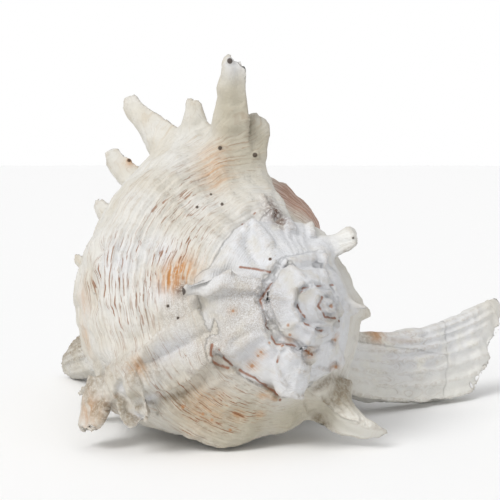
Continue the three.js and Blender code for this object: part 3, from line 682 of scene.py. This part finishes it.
def ridge(row):
    """Round bar lying along the ramp between two turns and two knots, half sunk in the skin:
    an ellipse of the side and normal directions, its ends closed by a root of 1-(2w-1)^6."""
    turn0, turn1, knot0, knot1, wide0, wide1, high0, high1 = row
    w = np.linspace(0.002, 0.998, RIDGE_RINGS)
    turn, knot = turn0 + (turn1 - turn0) * w, knot0 + (knot1 - knot0) * w
    centre = surface(turn, knot)
    along = unit(np.gradient(centre, axis=0))
    round_about = surface(turn - 0.002, knot) - surface(turn + 0.002, knot)
    normal = unit(np.cross(along, round_about))
    normal = normal * np.sign((normal * (centre * [1, 1, 0])).sum(-1, keepdims=True) + 1e-9)
    side = np.cross(normal, along)
    end = np.sqrt(1 - (2 * w - 1)**6)[:, None, None]
    wide = (wide0 + (wide1 - wide0) * w)[:, None, None] * end
    high = (high0 + (high1 - high0) * w)[:, None, None] * end
    a = round_angles()
    rings = (centre[:, None] + side[:, None] * wide * np.cos(a)
             + normal[:, None] * high * np.sin(a))
    return loft(rings, strip_cap(ROUND_SIDES))


def spire_ridge(turn):
    """Ridge of an early whorl, its size in step with the whorl's radius."""
    size = SPIRE_RIDGE * suture(turn)[0]
    return ridge((turn, turn, *SPIRE_KNOTS, size, size, 0.8 * size, size))


def mouth_room():
    """Room behind the lip: the outside's profile inset by the wall, closed along the columella,
    shrinking with the square root of the turns left."""
    turns = LIP_TURN - 0.03 + (MOUTH_TURNS + 0.05) * np.linspace(0, 1, MOUTH_STEPS)[:, None]
    at = np.maximum(turns, LIP_TURN + 0.05)
    knots = np.interp(np.linspace(0, 7, MOUTH_POINTS), np.arange(8), MOUTH_OUTER_KNOTS)[None, :]
    r0, h0 = profile(at, knots - 0.1)
    r1, h1 = profile(at, knots + 0.1)
    radius, depth = profile(at, knots)
    step = np.hypot(r1 - r0, h1 - h0)
    radius = radius - WALL * (h1 - h0) / step
    depth = depth + WALL * (r1 - r0) / step
    top, bottom = depth[:, :1], depth[:, -1:]
    share = np.linspace(-1, 5, MOUTH_POINTS)[1:-1]
    inner_r = np.interp(share, np.arange(5), MOUTH_INNER[:, 0])[None, :] * shoulder(at)[0]
    inner_h = top + (bottom - top) * np.interp(share, np.arange(5), MOUTH_INNER[:, 1])[None, :]
    radius = np.concatenate([radius, radius[:, -1:], inner_r, radius[:, :1]], 1)
    depth = np.concatenate([depth, bottom, inner_h, top], 1)
    mean_r, mean_h = radius.mean(1, keepdims=True), depth.mean(1, keepdims=True)
    left = np.maximum(1 - turns / MOUTH_TURNS, 0)
    size = np.minimum(1, 0.15 + 1.25 * np.sqrt(left))
    outward = (1 - size) * MOUTH_NARROWING
    rings = place(turns * np.ones_like(radius),
                  mean_r + outward + (radius - mean_r - outward) * size,
                  mean_h + (depth - mean_h) * size)
    return loft(rings, strip_cap(rings.shape[1]))


def canal_slit():
    """Slit under the neck: a thin box that narrows and comes nearer the axis with the depth."""
    a = LIP_ANGLE + FULL_TURN * LIP_TURN
    out = np.array([np.cos(a), np.sin(a), 0])
    mouthward = np.array([np.sin(a), -np.cos(a), 0])
    w = np.linspace(0, 1, 30)[:, None, None]
    depth = CANAL_FROM + CANAL_LENGTH * w
    half = CANAL_HALF_WIDTH * (1.5 - 0.5 * w)
    centre = np.concatenate([np.zeros_like(w), canal_shift(depth), -depth], -1)
    centre = centre + out * (CANAL_OUT - CANAL_INWARD * w)
    return loft(centre + out * half * CANAL_SIDES + mouthward * CANAL_REACH, strip_cap(4))


def pillar():
    """Pillar along the axis, its radius growing with the depth and thinning along the canal."""
    top, bottom = suture(LAST_TURN)[1], profile(0.0, 11.8)[1]
    depth = top + (bottom - top) * np.linspace(0, 1, PILLAR_RINGS)[:, None, None]**1.5
    thinning = PILLAR_THINNING * np.maximum(0, (depth - PILLAR_FULL_TO) / PILLAR_THIN_LENGTH)
    radius = np.minimum(PILLAR_TIP + PILLAR_GROWTH * depth, PILLAR_RADIUS - thinning)
    a = round_angles()
    rings = np.concatenate([radius * np.cos(a), radius * np.sin(a) + canal_shift(depth),
                            -depth * np.ones_like(a)], -1)
    return loft(rings, strip_cap(ROUND_SIDES))


def first_whorl():
    """Blunt ball at the tip of the spire."""
    polar = np.linspace(0.02, np.pi - 0.02, BALL_RINGS)[:, None, None]
    a = round_angles()
    rings = BALL_RADIUS * np.concatenate([np.sin(polar) * np.cos(a), np.sin(polar) * np.sin(a),
                                          np.cos(polar) * np.ones_like(a)], -1)
    return loft(rings + np.array([0, 0, -BALL_DEPTH]), strip_cap(ROUND_SIDES))


def ground_axes():
    """Rows: the shell's own x, y and z in the ground frame."""
    apex = np.array([np.sin(YAW) * np.cos(RISE), np.sin(RISE), np.cos(YAW) * np.cos(RISE)])
    side = unit(np.cross([0, 1, 0], apex))
    up = np.cross(apex, side)
    sin, cos = np.sin(LOOK_DOWN), np.cos(LOOK_DOWN)
    return np.array([[v[0], v[1] * sin - v[2] * cos, v[1] * cos + v[2] * sin]
                     for v in (side, up, apex)])


AXES = ground_axes()


def to_ground(points):
    """From the shell's own frame to the ground frame."""
    return points @ AXES + APEX


def to_shell(points):
    """From the ground frame to the shell's own frame."""
    return (points - APEX) @ AXES.T


class Field:
    """Distance to the surface, in grid steps, on a regular grid over the object's box."""

    def __init__(self, low, high):
        self.low = np.floor(low / GRID_MM).astype(int) - GRID_MARGIN
        self.size = np.ceil(high / GRID_MM).astype(int) + GRID_MARGIN - self.low
        self.band = 2 * BLEND_MM / GRID_MM
        self.values = np.full(self.size, self.band, np.float32)

    def part(self, points, quads):
        """The distance of one closed part in its own box, and where that box lies in the grid."""
        grid_points = (to_ground(points) / GRID_MM).astype(np.float32)
        corners = grid_points[quads].astype(float)
        turned = np.cross(corners[:, 1] - corners[:, 0], corners[:, 2] - corners[:, 0])
        turned = turned + np.cross(corners[:, 2] - corners[:, 0], corners[:, 3] - corners[:, 0])
        if (turned * corners[:, 0]).sum() < 0:
            quads = quads[:, ::-1]
        level = openvdb.FloatGrid.createLevelSetFromPolygons(
            grid_points, quads=np.ascontiguousarray(quads, np.uint32), halfWidth=self.band)
        low = np.maximum(np.floor(grid_points.min(0) - self.band).astype(int), self.low)
        high = np.minimum(np.ceil(grid_points.max(0) + self.band).astype(int),
                          self.low + self.size)
        values = np.empty(high - low, np.float32)
        level.copyToArray(values, ijk=[int(v) for v in low])
        start = low - self.low
        stop = high - self.low
        return values, tuple(slice(a, b) for a, b in zip(start, stop))

    def add(self, part, blend_mm):
        """Union with a fillet: the lower distance, less (k - gap)^2 / 4k where the gap is
        under k."""
        values, where = self.part(*part)
        old = self.values[where]
        k = max(blend_mm / GRID_MM, 1e-3)
        near = np.maximum(k - np.abs(old - values), 0)
        self.values[where] = np.minimum(old, values) - near**2 / (4 * k)

    def cut(self, part, blend_mm):
        """What is left outside the part, its edge rounded the same way."""
        values, where = self.part(*part)
        old = self.values[where]
        k = max(blend_mm / GRID_MM, 1e-3)
        near = np.maximum(k - np.abs(old + values), 0)
        self.values[where] = np.maximum(old, -values) + near**2 / (4 * k)

    def mesh(self):
        """Points in millimetres and quads of the zero level."""
        level = openvdb.FloatGrid(self.band)
        level.gridClass = openvdb.GridClass.LEVEL_SET
        level.copyFromArray(self.values, ijk=[int(v) for v in self.low])
        points, quads = level.convertToQuads(isovalue=0.0)
        return points.astype(float) * GRID_MM, quads


def fused_body():
    """All whorls, fronds, pillar and tip as one skin, with the room of the mouth and the canal
    cut out of it."""
    field = Field(*BOX_MM)
    field.add(whorl_stretch(*BODY_WHORL, WHOLE_PROFILE), 0)
    for row in FRONDS:
        if row[0] < LAST_WHORL_UNTIL:
            field.add(frond(row), BLEND_MM)
    field.cut(mouth_room(), MOUTH_FILLET)
    for first, last, step, whole, fillet in EARLY_WHORLS:
        knots = WHOLE_PROFILE if whole else UPPER_PROFILE
        field.add(whorl_stretch(first, last, step, knots), fillet)
    for row in RIDGES:
        field.add(ridge(row), np.clip(RIDGE_FILLET_SHARE * row[5], *RIDGE_FILLETS))
    for turn in SPIRE_POINTS:
        field.add(spire_ridge(turn), SPIRE_FILLET)
    for row in FRONDS:
        if row[0] > LAST_WHORL_UNTIL:
            field.add(frond(row), EARLY_FROND_FILLET)
    field.add(pillar(), PILLAR_FILLET)
    field.add(first_whorl(), BALL_FILLET)
    field.cut(canal_slit(), CANAL_FILLET)
    return field.mesh()


def value_noise(points, cell, seed):
    """Random heights on a cubic lattice of the given cell, smoothed between its corners by
    3t^2 - 2t^3 along each axis; about minus one to one."""
    p = points / cell
    low = np.floor(p.min(0)).astype(int) - 1
    size = np.ceil(p.max(0)).astype(int) + 3 - low
    lattice = np.random.default_rng(seed).uniform(-1, 1, size)
    i = np.floor(p).astype(int)
    t = p - i
    t = t * t * (3 - 2 * t)
    i = i - low
    total = np.zeros(len(p))
    for corner in range(8):
        step = np.array([corner & 1, corner >> 1 & 1, corner >> 2 & 1])
        weight = np.prod(np.where(step, t, 1 - t), axis=1)
        x, y, z = (i + step).T
        total += weight * lattice[x, y, z]
    return total


def whorl_table():
    """Outside of the whorls on a grid of turns and knots: radius, depth, and length along the
    profile over the shoulder radius, scaled to the size of the last whorl."""
    turns = np.linspace(0, LAST_TURN, TABLE_TURNS)
    knots = np.linspace(0, LAST_KNOT, TABLE_KNOTS)
    radius, depth = profile(turns[:, None], knots[None, :])
    step = np.hypot(np.diff(radius, axis=1), np.diff(depth, axis=1))
    length = np.concatenate([np.zeros((len(turns), 1)), np.cumsum(step, 1)], 1)
    return radius, depth, length * SHOULDER_RADIUS / shoulder(turns)[0][:, None]


def whorl_place(points):
    """Turn, profile length and distance of the whorl nearest to each point: the angle about the
    axis leaves one turn in each revolution, and the nearest profile point of those is taken."""
    x, y, z = to_shell(points).T
    depth = -z
    y = y - canal_shift(depth)
    rho = np.hypot(x, y)
    base = ((np.arctan2(y, x) - LIP_ANGLE) / FULL_TURN) % 1
    table_r, table_h, table_s = whorl_table()
    best = np.full(len(points), 1e9)
    turn, cord = np.zeros(len(points)), np.zeros(len(points))
    for revolution in range(REVOLUTIONS):
        at = base + revolution
        row = np.clip(at / LAST_TURN, 0, 0.9999) * (TABLE_TURNS - 1)
        reachable = np.flatnonzero(rho < 2.2 * suture(revolution)[0] + 14)
        for start in range(0, len(reachable), POINTS_AT_A_TIME):
            part = reachable[start:start + POINTS_AT_A_TIME]
            r = row[part].astype(int)
            f = (row[part] - r)[:, None]
            line_r = table_r[r] * (1 - f) + table_r[r + 1] * f
            line_h = table_h[r] * (1 - f) + table_h[r + 1] * f
            line_s = table_s[r] * (1 - f) + table_s[r + 1] * f
            dr, dh = np.diff(line_r, axis=1), np.diff(line_h, axis=1)
            gap_r, gap_h = rho[part, None] - line_r[:, :-1], depth[part, None] - line_h[:, :-1]
            t = np.clip((gap_r * dr + gap_h * dh) / (dr**2 + dh**2 + 1e-9), 0, 1)
            gap = np.hypot(gap_r - t * dr, gap_h - t * dh)
            k = gap.argmin(1)[:, None]
            d = np.take_along_axis(gap, k, 1)[:, 0]
            s = np.take_along_axis(line_s[:, :-1] + t * np.diff(line_s, axis=1), k, 1)[:, 0]
            near = (d < best[part]) & (at[part] < LAST_TURN)
            best[part] = np.where(near, d, best[part])
            turn[part] = np.where(near, at[part], turn[part])
            cord[part] = np.where(near, s, cord[part])
    return turn, cord, best


def vertex_normals(obj):
    """Unit normals of the object's vertices."""
    normals = np.empty(len(obj.data.vertices) * 3, np.float32)
    obj.data.vertex_normals.foreach_get("vector", normals)
    return normals.reshape(-1, 3).astype(float)


def vertex_points(obj):
    """Vertices of the object in millimetres."""
    flat = np.empty(len(obj.data.vertices) * 3)
    obj.data.vertices.foreach_get("co", flat)
    return flat.reshape(-1, 3) * 1000


def hollowness(obj, points, normals, rounds):
    """How far the mean of a vertex's neighbours stands out of it along its normal, averaged over
    the neighbours a few times: above nought in valleys, below nought on ridges."""
    flat = np.empty(len(obj.data.edges) * 2, np.int32)
    obj.data.edges.foreach_get("vertices", flat)
    a, b = flat.reshape(-1, 2).T
    count = np.bincount(a, minlength=len(points)) + np.bincount(b, minlength=len(points))
    count = np.maximum(count, 1)

    def neighbours(values):
        sums = np.bincount(a, values[b], len(points)) + np.bincount(b, values[a], len(points))
        return sums / count

    mean = np.stack([neighbours(points[:, k]) for k in range(3)], 1)
    edge = np.linalg.norm(points[a] - points[b], axis=1)
    size = (np.bincount(a, edge, len(points)) + np.bincount(b, edge, len(points))) / count
    value = ((mean - points) * normals).sum(1) / np.maximum(size, 0.05)**2
    for _ in range(rounds):
        value = 0.5 * value + 0.5 * neighbours(value)
    return value


def sight():
    """The camera's place and its sideways, upward and backward directions, in the ground frame."""
    sin, cos = np.sin(LOOK_DOWN), np.cos(LOOK_DOWN)
    side, up, back = np.array([1, 0, 0]), np.array([0, sin, cos]), np.array([0, -cos, sin])
    half = IMAGE_PIXELS / 2
    start = APEX + PIXEL_MM * (-(APEX_PIXEL[0] - half) * side + (APEX_PIXEL[1] - half) * up
                               + CAMERA_PIXELS * back)
    return start, side, up, back


def ray(pixel_x, pixel_y):
    """Start and direction, in the ground frame, of the sight line through a picture pixel."""
    start, side, up, back = sight()
    half = IMAGE_PIXELS / 2
    return start, unit((pixel_x - half) * side - (pixel_y - half) * up - CAMERA_PIXELS * back)


def on_shell(tree, pixel_x, pixel_y):
    """Where the sight line through a pixel first meets the shell, or nothing."""
    start, way = ray(pixel_x, pixel_y)
    hit = tree.ray_cast(Vector(start), Vector(way))[0]
    return None if hit is None else np.array(hit)


def patches(points, tree, table):
    """Sum of strength times exp(-d^2 / 2 spread^2) over the patches, at most one."""
    total = np.zeros(len(points))
    for x, y, spread, strength in table:
        centre = on_shell(tree, x, y)
        if centre is not None:
            total += strength * np.exp(-((points - centre)**2).sum(1) / (2 * spread**2))
    return np.minimum(total, 1)


def line_gap(points, stops):
    """Distance of each point to the nearest stretch between the stops, the foot on a stretch held
    between its ends."""
    gap = np.full(len(points), 1e3)
    for a, b in zip(stops[:-1], stops[1:]):
        way = b - a
        share = np.clip(((points - a) @ way) / (way @ way), 0, 1)
        gap = np.minimum(gap, np.linalg.norm(points - a - share[:, None] * way, axis=1))
    return gap


def marked_relief(points, tree):
    """Welts and bumps out of the skin, grooves and pits into it, each a Gauss curve of the
    distance."""
    height = np.zeros(len(points))
    for sign, table in ((1, WELTS), (-1, GROOVES)):
        for spread, high, pixels in table:
            stops = [on_shell(tree, x, y) for x, y in pixels]
            stops = [stop for stop in stops if stop is not None]
            gap = line_gap(points, stops)
            height += sign * high * np.exp(-gap**2 / (2 * spread**2))
    pits = [(x, y, PIT_SPREAD * size, deep) for x, y, size, deep in PITS]
    for sign, table in ((1, BUMPS), (-1, pits)):
        for x, y, spread, high in table:
            middle = on_shell(tree, x, y)
            if middle is not None:
                gap = np.linalg.norm(points - middle, axis=1)
                height += sign * high * np.exp(-gap**2 / (2 * spread**2))
    return height


def relief(points):
    """Heights of the fine relief: value noise in three sizes, cords as a cosine of the profile
    length, and growth folds as random heights of the turn."""
    turn, cord, off = whorl_place(points)
    height = np.zeros(len(points))
    for seed, (cell, high) in enumerate(LUMPS):
        height += high * value_noise(points, cell, seed + 1)
    wander = value_noise(points, WANDER_CELL, WANDER_SEED)
    size = np.clip(shoulder(turn)[0] / SHOULDER_RADIUS, LEAST_SIZE, 1)
    size = size + (1 - size) * np.clip((off - OFF_WHORL_MM) / OFF_FADE_MM, 0, 1)
    on_whorl = np.clip(1.5 - off / CORD_REACH_MM, 0, 1)
    cords = np.cos(FULL_TURN * (cord / CORD_STEP + CORD_WANDER * wander))
    height += CORD_HEIGHT * size * on_whorl * cords
    folds = int(FOLDS_PER_TURN * (LAST_TURN + 1))
    heights = np.random.default_rng(FOLD_SEED).uniform(-1, 1, folds)
    along = (turn + FOLD_WANDER * wander + FOLD_SLANT * cord) * FOLDS_PER_TURN
    fold = np.interp(along, np.arange(len(heights)), heights)
    return height * np.clip(size * 1.3, 0.25, 1) + FOLD_HEIGHT * fold * size * on_whorl


def make_object(name, points, faces):
    """Object of that name from points in millimetres and faces."""
    mesh = bpy.data.meshes.new(name)
    mesh.from_pydata((points / 1000).tolist(), [], faces.tolist())
    mesh.validate()
    obj = bpy.data.objects.new(name, mesh)
    bpy.context.scene.collection.objects.link(obj)
    return obj


def set_points(obj, points):
    """Move the object's vertices to points in millimetres, kept inside the CAD's box."""
    low, high = BOX_MM[0] + BOX_MARGIN_MM, BOX_MM[1] - BOX_MARGIN_MM
    obj.data.vertices.foreach_set("co", (np.clip(points, low, high) / 1000).ravel())
    obj.data.update()


def thin_out(obj):
    """Merge triangles down to the count kept, fewer away from the view than towards it."""
    points, normals = vertex_points(obj), vertex_normals(obj)
    facing = (unit(sight()[0] - points) * normals).sum(1)
    weight = FAR_SHARE + (1 - FAR_SHARE) * np.clip((facing + FAR_START) * FAR_SLOPE, 0, 1)
    group = obj.vertex_groups.new(name="towards")
    level = np.clip((weight * SHARE_STEPS).round().astype(int), 0, SHARE_STEPS)
    for step in range(1, SHARE_STEPS + 1):
        group.add(np.flatnonzero(level == step).tolist(), step / SHARE_STEPS, "REPLACE")
    modifier = obj.modifiers.new("fewer", "DECIMATE")
    modifier.ratio = KEPT_TRIANGLES / (2 * len(obj.data.polygons))
    modifier.use_collapse_triangulate = True
    modifier.vertex_group = "towards"
    depsgraph = bpy.context.evaluated_depsgraph_get()
    mesh = bpy.data.meshes.new_from_object(obj.evaluated_get(depsgraph))
    obj.modifiers.clear()
    obj.vertex_groups.clear()
    obj.data = mesh


def put_values(obj, name, values):
    """Store one number a vertex."""
    attribute = obj.data.attributes.new(name, "FLOAT", "POINT")
    attribute.data.foreach_set("value", values.astype(np.float32))


class Graph:
    """Short names for the nodes of a material."""

    def __init__(self, material):
        self.nodes = material.node_tree.nodes
        self.links = material.node_tree.links

    def put(self, socket, value):
        """Link a socket, or set a number or a colour."""
        if isinstance(value, bpy.types.NodeSocket):
            self.links.new(value, socket)
        else:
            socket.default_value = value

    def value(self, name):
        """A stored number of the mesh."""
        node = self.nodes.new("ShaderNodeAttribute")
        node.attribute_name = name
        return node.outputs["Fac"]

    def math(self, kind, a, b=0.0):
        """One sum of one or two numbers."""
        node = self.nodes.new("ShaderNodeMath")
        node.operation = kind
        self.put(node.inputs[0], a)
        self.put(node.inputs[1], b)
        return node.outputs[0]

    def times(self, a, b):
        """Product."""
        return self.math("MULTIPLY", a, b)

    def plus(self, a, b):
        """Sum."""
        return self.math("ADD", a, b)

    def vector(self, kind, a, b=(0, 0, 0), scale=None):
        """One sum of vectors; distances and dot products come as a number."""
        node = self.nodes.new("ShaderNodeVectorMath")
        node.operation = kind
        self.put(node.inputs[0], a)
        self.put(node.inputs[1], b)
        if scale is not None:
            self.put(node.inputs["Scale"], scale)
        return node.outputs["Value" if kind in ("DISTANCE", "DOT_PRODUCT") else "Vector"]

    def join(self, x, y, z):
        """Vector of three numbers."""
        node = self.nodes.new("ShaderNodeCombineXYZ")
        for socket, value in zip(node.inputs, (x, y, z)):
            self.put(socket, value)
        return node.outputs[0]

    def noise(self, vector, scale, detail=3.0, rough=0.55):
        """Cloudy number about a half."""
        node = self.nodes.new("ShaderNodeTexNoise")
        self.put(node.inputs["Vector"], vector)
        node.inputs["Scale"].default_value = scale
        node.inputs["Detail"].default_value = detail
        node.inputs["Roughness"].default_value = rough
        return node.outputs["Fac"]

    def step(self, value, low, high):
        """Soft step from nought at low to one at high."""
        node = self.nodes.new("ShaderNodeMapRange")
        node.interpolation_type = "SMOOTHSTEP"
        self.put(node.inputs["Value"], value)
        if low > high:
            low, high = high, low
            node.inputs["To Min"].default_value = 1
            node.inputs["To Max"].default_value = 0
        node.inputs["From Min"].default_value = low
        node.inputs["From Max"].default_value = high
        return node.outputs["Result"]

    def mix(self, share, a, b):
        """Colour a turned to colour b by the share."""
        node = self.nodes.new("ShaderNodeMix")
        node.data_type = "RGBA"
        self.put(node.inputs[0], share)
        self.put(node.inputs[6], a)
        self.put(node.inputs[7], b)
        return node.outputs[2]


def along_lines(graph, place_at, tree, lines):
    """Distance to the nearest stretch of the lines, less its half width: the place is dropped on
    each stretch by its dot product, held between nought and one."""
    nearest = None
    for half_width, pixels in lines:
        hits = [on_shell(tree, x, y) for x, y in pixels]
        for a, b in zip(hits[:-1], hits[1:]):
            if a is None or b is None or np.linalg.norm(a - b) > LONGEST_STRETCH:
                continue
            way = b - a
            rest = graph.vector("SUBTRACT", place_at, tuple(a))
            share = graph.vector("DOT_PRODUCT", rest, tuple(way / (way @ way)))
            share = graph.math("MINIMUM", graph.math("MAXIMUM", share, 0.0), 1.0)
            foot = graph.vector("SCALE", tuple(way), scale=share)
            gap = graph.math("SUBTRACT", graph.vector("DISTANCE", rest, foot), half_width)
            nearest = gap if nearest is None else graph.math("MINIMUM", nearest, gap)
    return nearest


def at_spots(graph, place_at, tree, spots):
    """Distance to the nearest spot's middle, less the spot's size."""
    nearest = None
    for x, y, size in spots:
        hit = on_shell(tree, x, y)
        if hit is None:
            continue
        gap = graph.math("SUBTRACT", graph.vector("DISTANCE", place_at, tuple(hit)), size)
        nearest = gap if nearest is None else graph.math("MINIMUM", nearest, gap)
    return nearest


def shell_finish(tree):
    """Chalky skin: cream and cool white mixed by the stored values, broken by noise stretched into
    streaks along the cords, with suture lines, spots, sand and stains, painted shade in the
    creases, in the pits and under the shell, painted light on the fan, and fine relief as bump."""
    material = bpy.data.materials.new("shell chalk")
    material.use_nodes = True
    graph = Graph(material)
    times, plus, step, stored = graph.times, graph.plus, graph.step, graph.value
    shader = graph.nodes["Principled BSDF"]
    coordinates = graph.nodes.new("ShaderNodeTexCoord").outputs["Object"]
    place_at = graph.vector("SCALE", coordinates, scale=1000.0)

    cloud = graph.noise(place_at, 0.07, 4.0)
    grain = graph.noise(place_at, 0.9, 4.0, 0.65)
    speck = graph.noise(place_at, 2.6, 3.0, 0.7)
    wander = graph.noise(place_at, 0.16, 2.0)
    cord_way = plus(stored("cord"), times(wander, 1.2))
    turn_way = plus(times(stored("turn"), SKIN_MM_PER_TURN), times(wander, 6.0))

    def stretched(turn_scale, cord_scale, layer, detail=3.0, rough=0.6):
        """Noise of the turn and the cord, each on a layer of its own."""
        way = graph.join(times(turn_way, turn_scale), times(cord_way, cord_scale), layer)
        return graph.noise(way, 1.0, detail, rough)

    streak = stretched(0.14, 1.0, 0.0)
    dash = stretched(0.3, 1.6, 4.0, detail=2.0)
    growth = stretched(1.3, 0.12, 8.0)
    tract = stretched(0.06, 0.22, 2.0, detail=1.0, rough=0.5)
    thread = graph.math("SINE", times(cord_way, FULL_TURN / FINE_CORD_STEP))

    cream = graph.mix(step(cloud, 0.35, 0.7), CREAM, CREAM_DEEP)
    # Painted light: the pale patches lighten the fan and a few other spots
    cream = graph.mix(stored("pale"), cream, PAINTED_LIGHT_PALE)
    cream = graph.mix(times(step(streak, 0.52, 0.75), 0.4), cream, TAN)
    cream = graph.mix(times(stored("olive"), 0.8), cream, OLIVE)
    patchy = times(stored("chalk"), step(wander, 0.2, 0.55))
    powder = times(step(grain, 0.5, 0.64), patchy)
    pink_lines = times(stored("pink"), step(thread, -0.5, 0.6))
    orange = times(stored("orange"), step(plus(streak, times(grain, 0.4)), 0.52, 0.85))
    dashes = times(times(step(dash, 0.52, 0.64), stored("streaks")), step(tract, 0.36, 0.58))
    sand = times(stored("sand"), step(speck, 0.36, 0.66))
    # Painted shade with some grime: the skin facing down near the floor turns dark brown
    shade_grime = times(stored("shade_grime"), step(grain, 0.1, 0.7))
    # Painted shade in the creases, with some dirt: hollow places of the skin turn deep tan
    crease_shade_and_dirt = times(step(stored("hollow"), 0.03, 0.2), step(grain, 0.3, 0.65))
    umber = times(stored("umber"), step(grain, 0.3, 0.6))

    shaky = times(graph.math("SUBTRACT", grain, 0.5), 0.9)
    line = plus(along_lines(graph, place_at, tree, RED_LINES), times(shaky, 0.6))
    spot = plus(at_spots(graph, place_at, tree, SPOTS), shaky)
    # Painted shade: distance to the pits, which darkens their insides nearly to black
    pit_shade = at_spots(graph, place_at, tree, [(x, y, size * PIT_SHADE) for x, y, size, deep in PITS])

    colour = graph.mix(patchy, cream, CHALK)
    for share, strength, coat in (
            (powder, 0.4, POWDER), (stored("pink"), 0.75, PINK), (pink_lines, 0.6, PINK_LINE),
            (stored("orange"), 0.35, HONEY), (orange, 1.0, ORANGE), (dashes, 0.95, RUST),
            (step(dash, 0.6, 0.72), 0.3, TAN_DEEP), (sand, 0.7, SAND), (shade_grime, 1.0, SHADE_GRIME),
            (crease_shade_and_dirt, 0.3, TAN_DEEP), (umber, 1.0, UMBER),
            (step(line, 0.4, -0.1), 0.85, SUTURE_RED), (step(spot, 0.35, -0.3), 0.75, SPOT_ORANGE),
            (step(pit_shade, 0.25, -0.1), 0.9, PAINTED_PIT_SHADE)):
        colour = graph.mix(times(share, strength), colour, coat)
    graph.put(shader.inputs["Base Color"], colour)
    shader.inputs["Roughness"].default_value = SKIN_ROUGHNESS
    shader.inputs["Specular IOR Level"].default_value = SKIN_SPECULAR

    height = times(thread, 0.05)
    for value, high in ((growth, 0.35), (grain, 0.3), (speck, 0.14),
                        (step(line, 0.5, -0.1), -0.25)):
        height = plus(height, times(value, high))
    bump = graph.nodes.new("ShaderNodeBump")
    bump.inputs["Strength"].default_value = BUMP_STRENGTH
    bump.inputs["Distance"].default_value = BUMP_METRES
    graph.put(bump.inputs["Height"], height)
    graph.put(shader.inputs["Normal"], bump.outputs["Normal"])
    return material


def floor_and_light():
    """Pale floor, soft light from the upper left, and a surround that is white near the horizon
    and dims overhead."""
    half = FLOOR_HALF
    mesh = bpy.data.meshes.new("floor")
    mesh.from_pydata([(-half, -half, 0), (half, -half, 0), (half, half, 0), (-half, half, 0)],
                     [], [(0, 1, 2, 3)])
    floor = bpy.data.objects.new("floor", mesh)
    bpy.context.scene.collection.objects.link(floor)
    material = bpy.data.materials.new("floor paint")
    material.use_nodes = True
    shader = material.node_tree.nodes["Principled BSDF"]
    shader.inputs["Base Color"].default_value = FLOOR_WHITE
    shader.inputs["Roughness"].default_value = FLOOR_ROUGHNESS
    mesh.materials.append(material)
    world = bpy.data.worlds.new("pale surround")
    bpy.context.scene.world = world
    world.use_nodes = True
    sky = Graph(world)
    background = sky.nodes["Background"]
    background.inputs[0].default_value = (1, 1, 1, 1)
    way = sky.nodes.new("ShaderNodeTexCoord").outputs["Generated"]
    height = sky.vector("DOT_PRODUCT", way, (0, 0, 1))
    low = sky.step(height, DIM_TO, DIM_FROM)
    sky.put(background.inputs[1], sky.plus(sky.times(low, 1 - CEILING), CEILING))
    bpy.context.scene.view_settings.view_transform = "Standard"
    for name, place_at, angle, power in LIGHTS:
        light = bpy.data.lights.new(name, "SUN")
        light.angle = np.radians(angle)
        light.energy = power
        lamp = bpy.data.objects.new(name, light)
        lamp.rotation_euler = (-Vector(place_at)).to_track_quat("-Z", "Y").to_euler()
        bpy.context.scene.collection.objects.link(lamp)


def camera():
    """Camera looking along +Y and a little down, with the apex on its pixel."""
    data = bpy.data.cameras.new("camera")
    data.sensor_width = SENSOR_MM
    data.sensor_fit = "HORIZONTAL"
    data.lens = SENSOR_MM * CAMERA_PIXELS / IMAGE_PIXELS
    data.clip_start = 0.01
    obj = bpy.data.objects.new("camera", data)
    obj.location = Vector(sight()[0] / 1000)
    obj.rotation_euler = (np.pi / 2 - LOOK_DOWN, 0, 0)
    bpy.context.scene.collection.objects.link(obj)
    bpy.context.scene.camera = obj


points, faces = fused_body()
shell = make_object("fine_shell", points, faces)
points, normals = vertex_points(shell), vertex_normals(shell)
tree = BVHTree.FromPolygons(points.tolist(), faces.tolist())
shift = relief(points) + marked_relief(points, tree)
set_points(shell, points + normals * shift[:, None])
thin_out(shell)

points, normals = vertex_points(shell), vertex_normals(shell)
set_points(shell, points)
tree = BVHTree.FromPolygons(points.tolist(), [tuple(p.vertices) for p in shell.data.polygons])
turn, cord, off = whorl_place(points)
put_values(shell, "turn", turn)
put_values(shell, "cord", cord)
# hollowness of the skin, which the material turns into painted crease shade
put_values(shell, "hollow", hollowness(shell, points, normals, HOLLOW_ROUNDS))
worn = WORN_STRENGTH * np.clip((turn - WORN_FROM) * WORN_SLOPE, 0, 1)
put_values(shell, "chalk", np.clip(patches(points, tree, CHALK_PATCHES) + worn, 0, 1))
for name, table in (("orange", ORANGE_PATCHES), ("streaks", STREAK_PATCHES), ("sand", SAND_PATCHES),
                    ("pink", PINK_PATCHES), ("umber", UMBER_PATCHES), ("olive", OLIVE_PATCHES),
                    ("pale", PAINTED_LIGHT_PATCHES)):
    put_values(shell, name, patches(points, tree, table))
# Painted shade with some grime: darker where the skin faces down, near the floor and on the whorl
under = np.clip(SHADE_GRIME_START - SHADE_GRIME_SLOPE * vertex_normals(shell)[:, 2], 0, 1)
near_floor = np.clip((SHADE_GRIME_TOP_MM - points[:, 2]) / SHADE_GRIME_FADE_MM, 0, 1)
near_whorl = np.clip(SHADE_GRIME_OFF_START - off / SHADE_GRIME_OFF_MM, SHADE_GRIME_LEAST, 1)
put_values(shell, "shade_grime", SHADE_GRIME_STRENGTH * under * near_floor * near_whorl)
shell.data.shade_smooth()
shell.data.materials.append(shell_finish(tree))
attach(shell, "root")
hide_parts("shell")

floor_and_light()
camera()
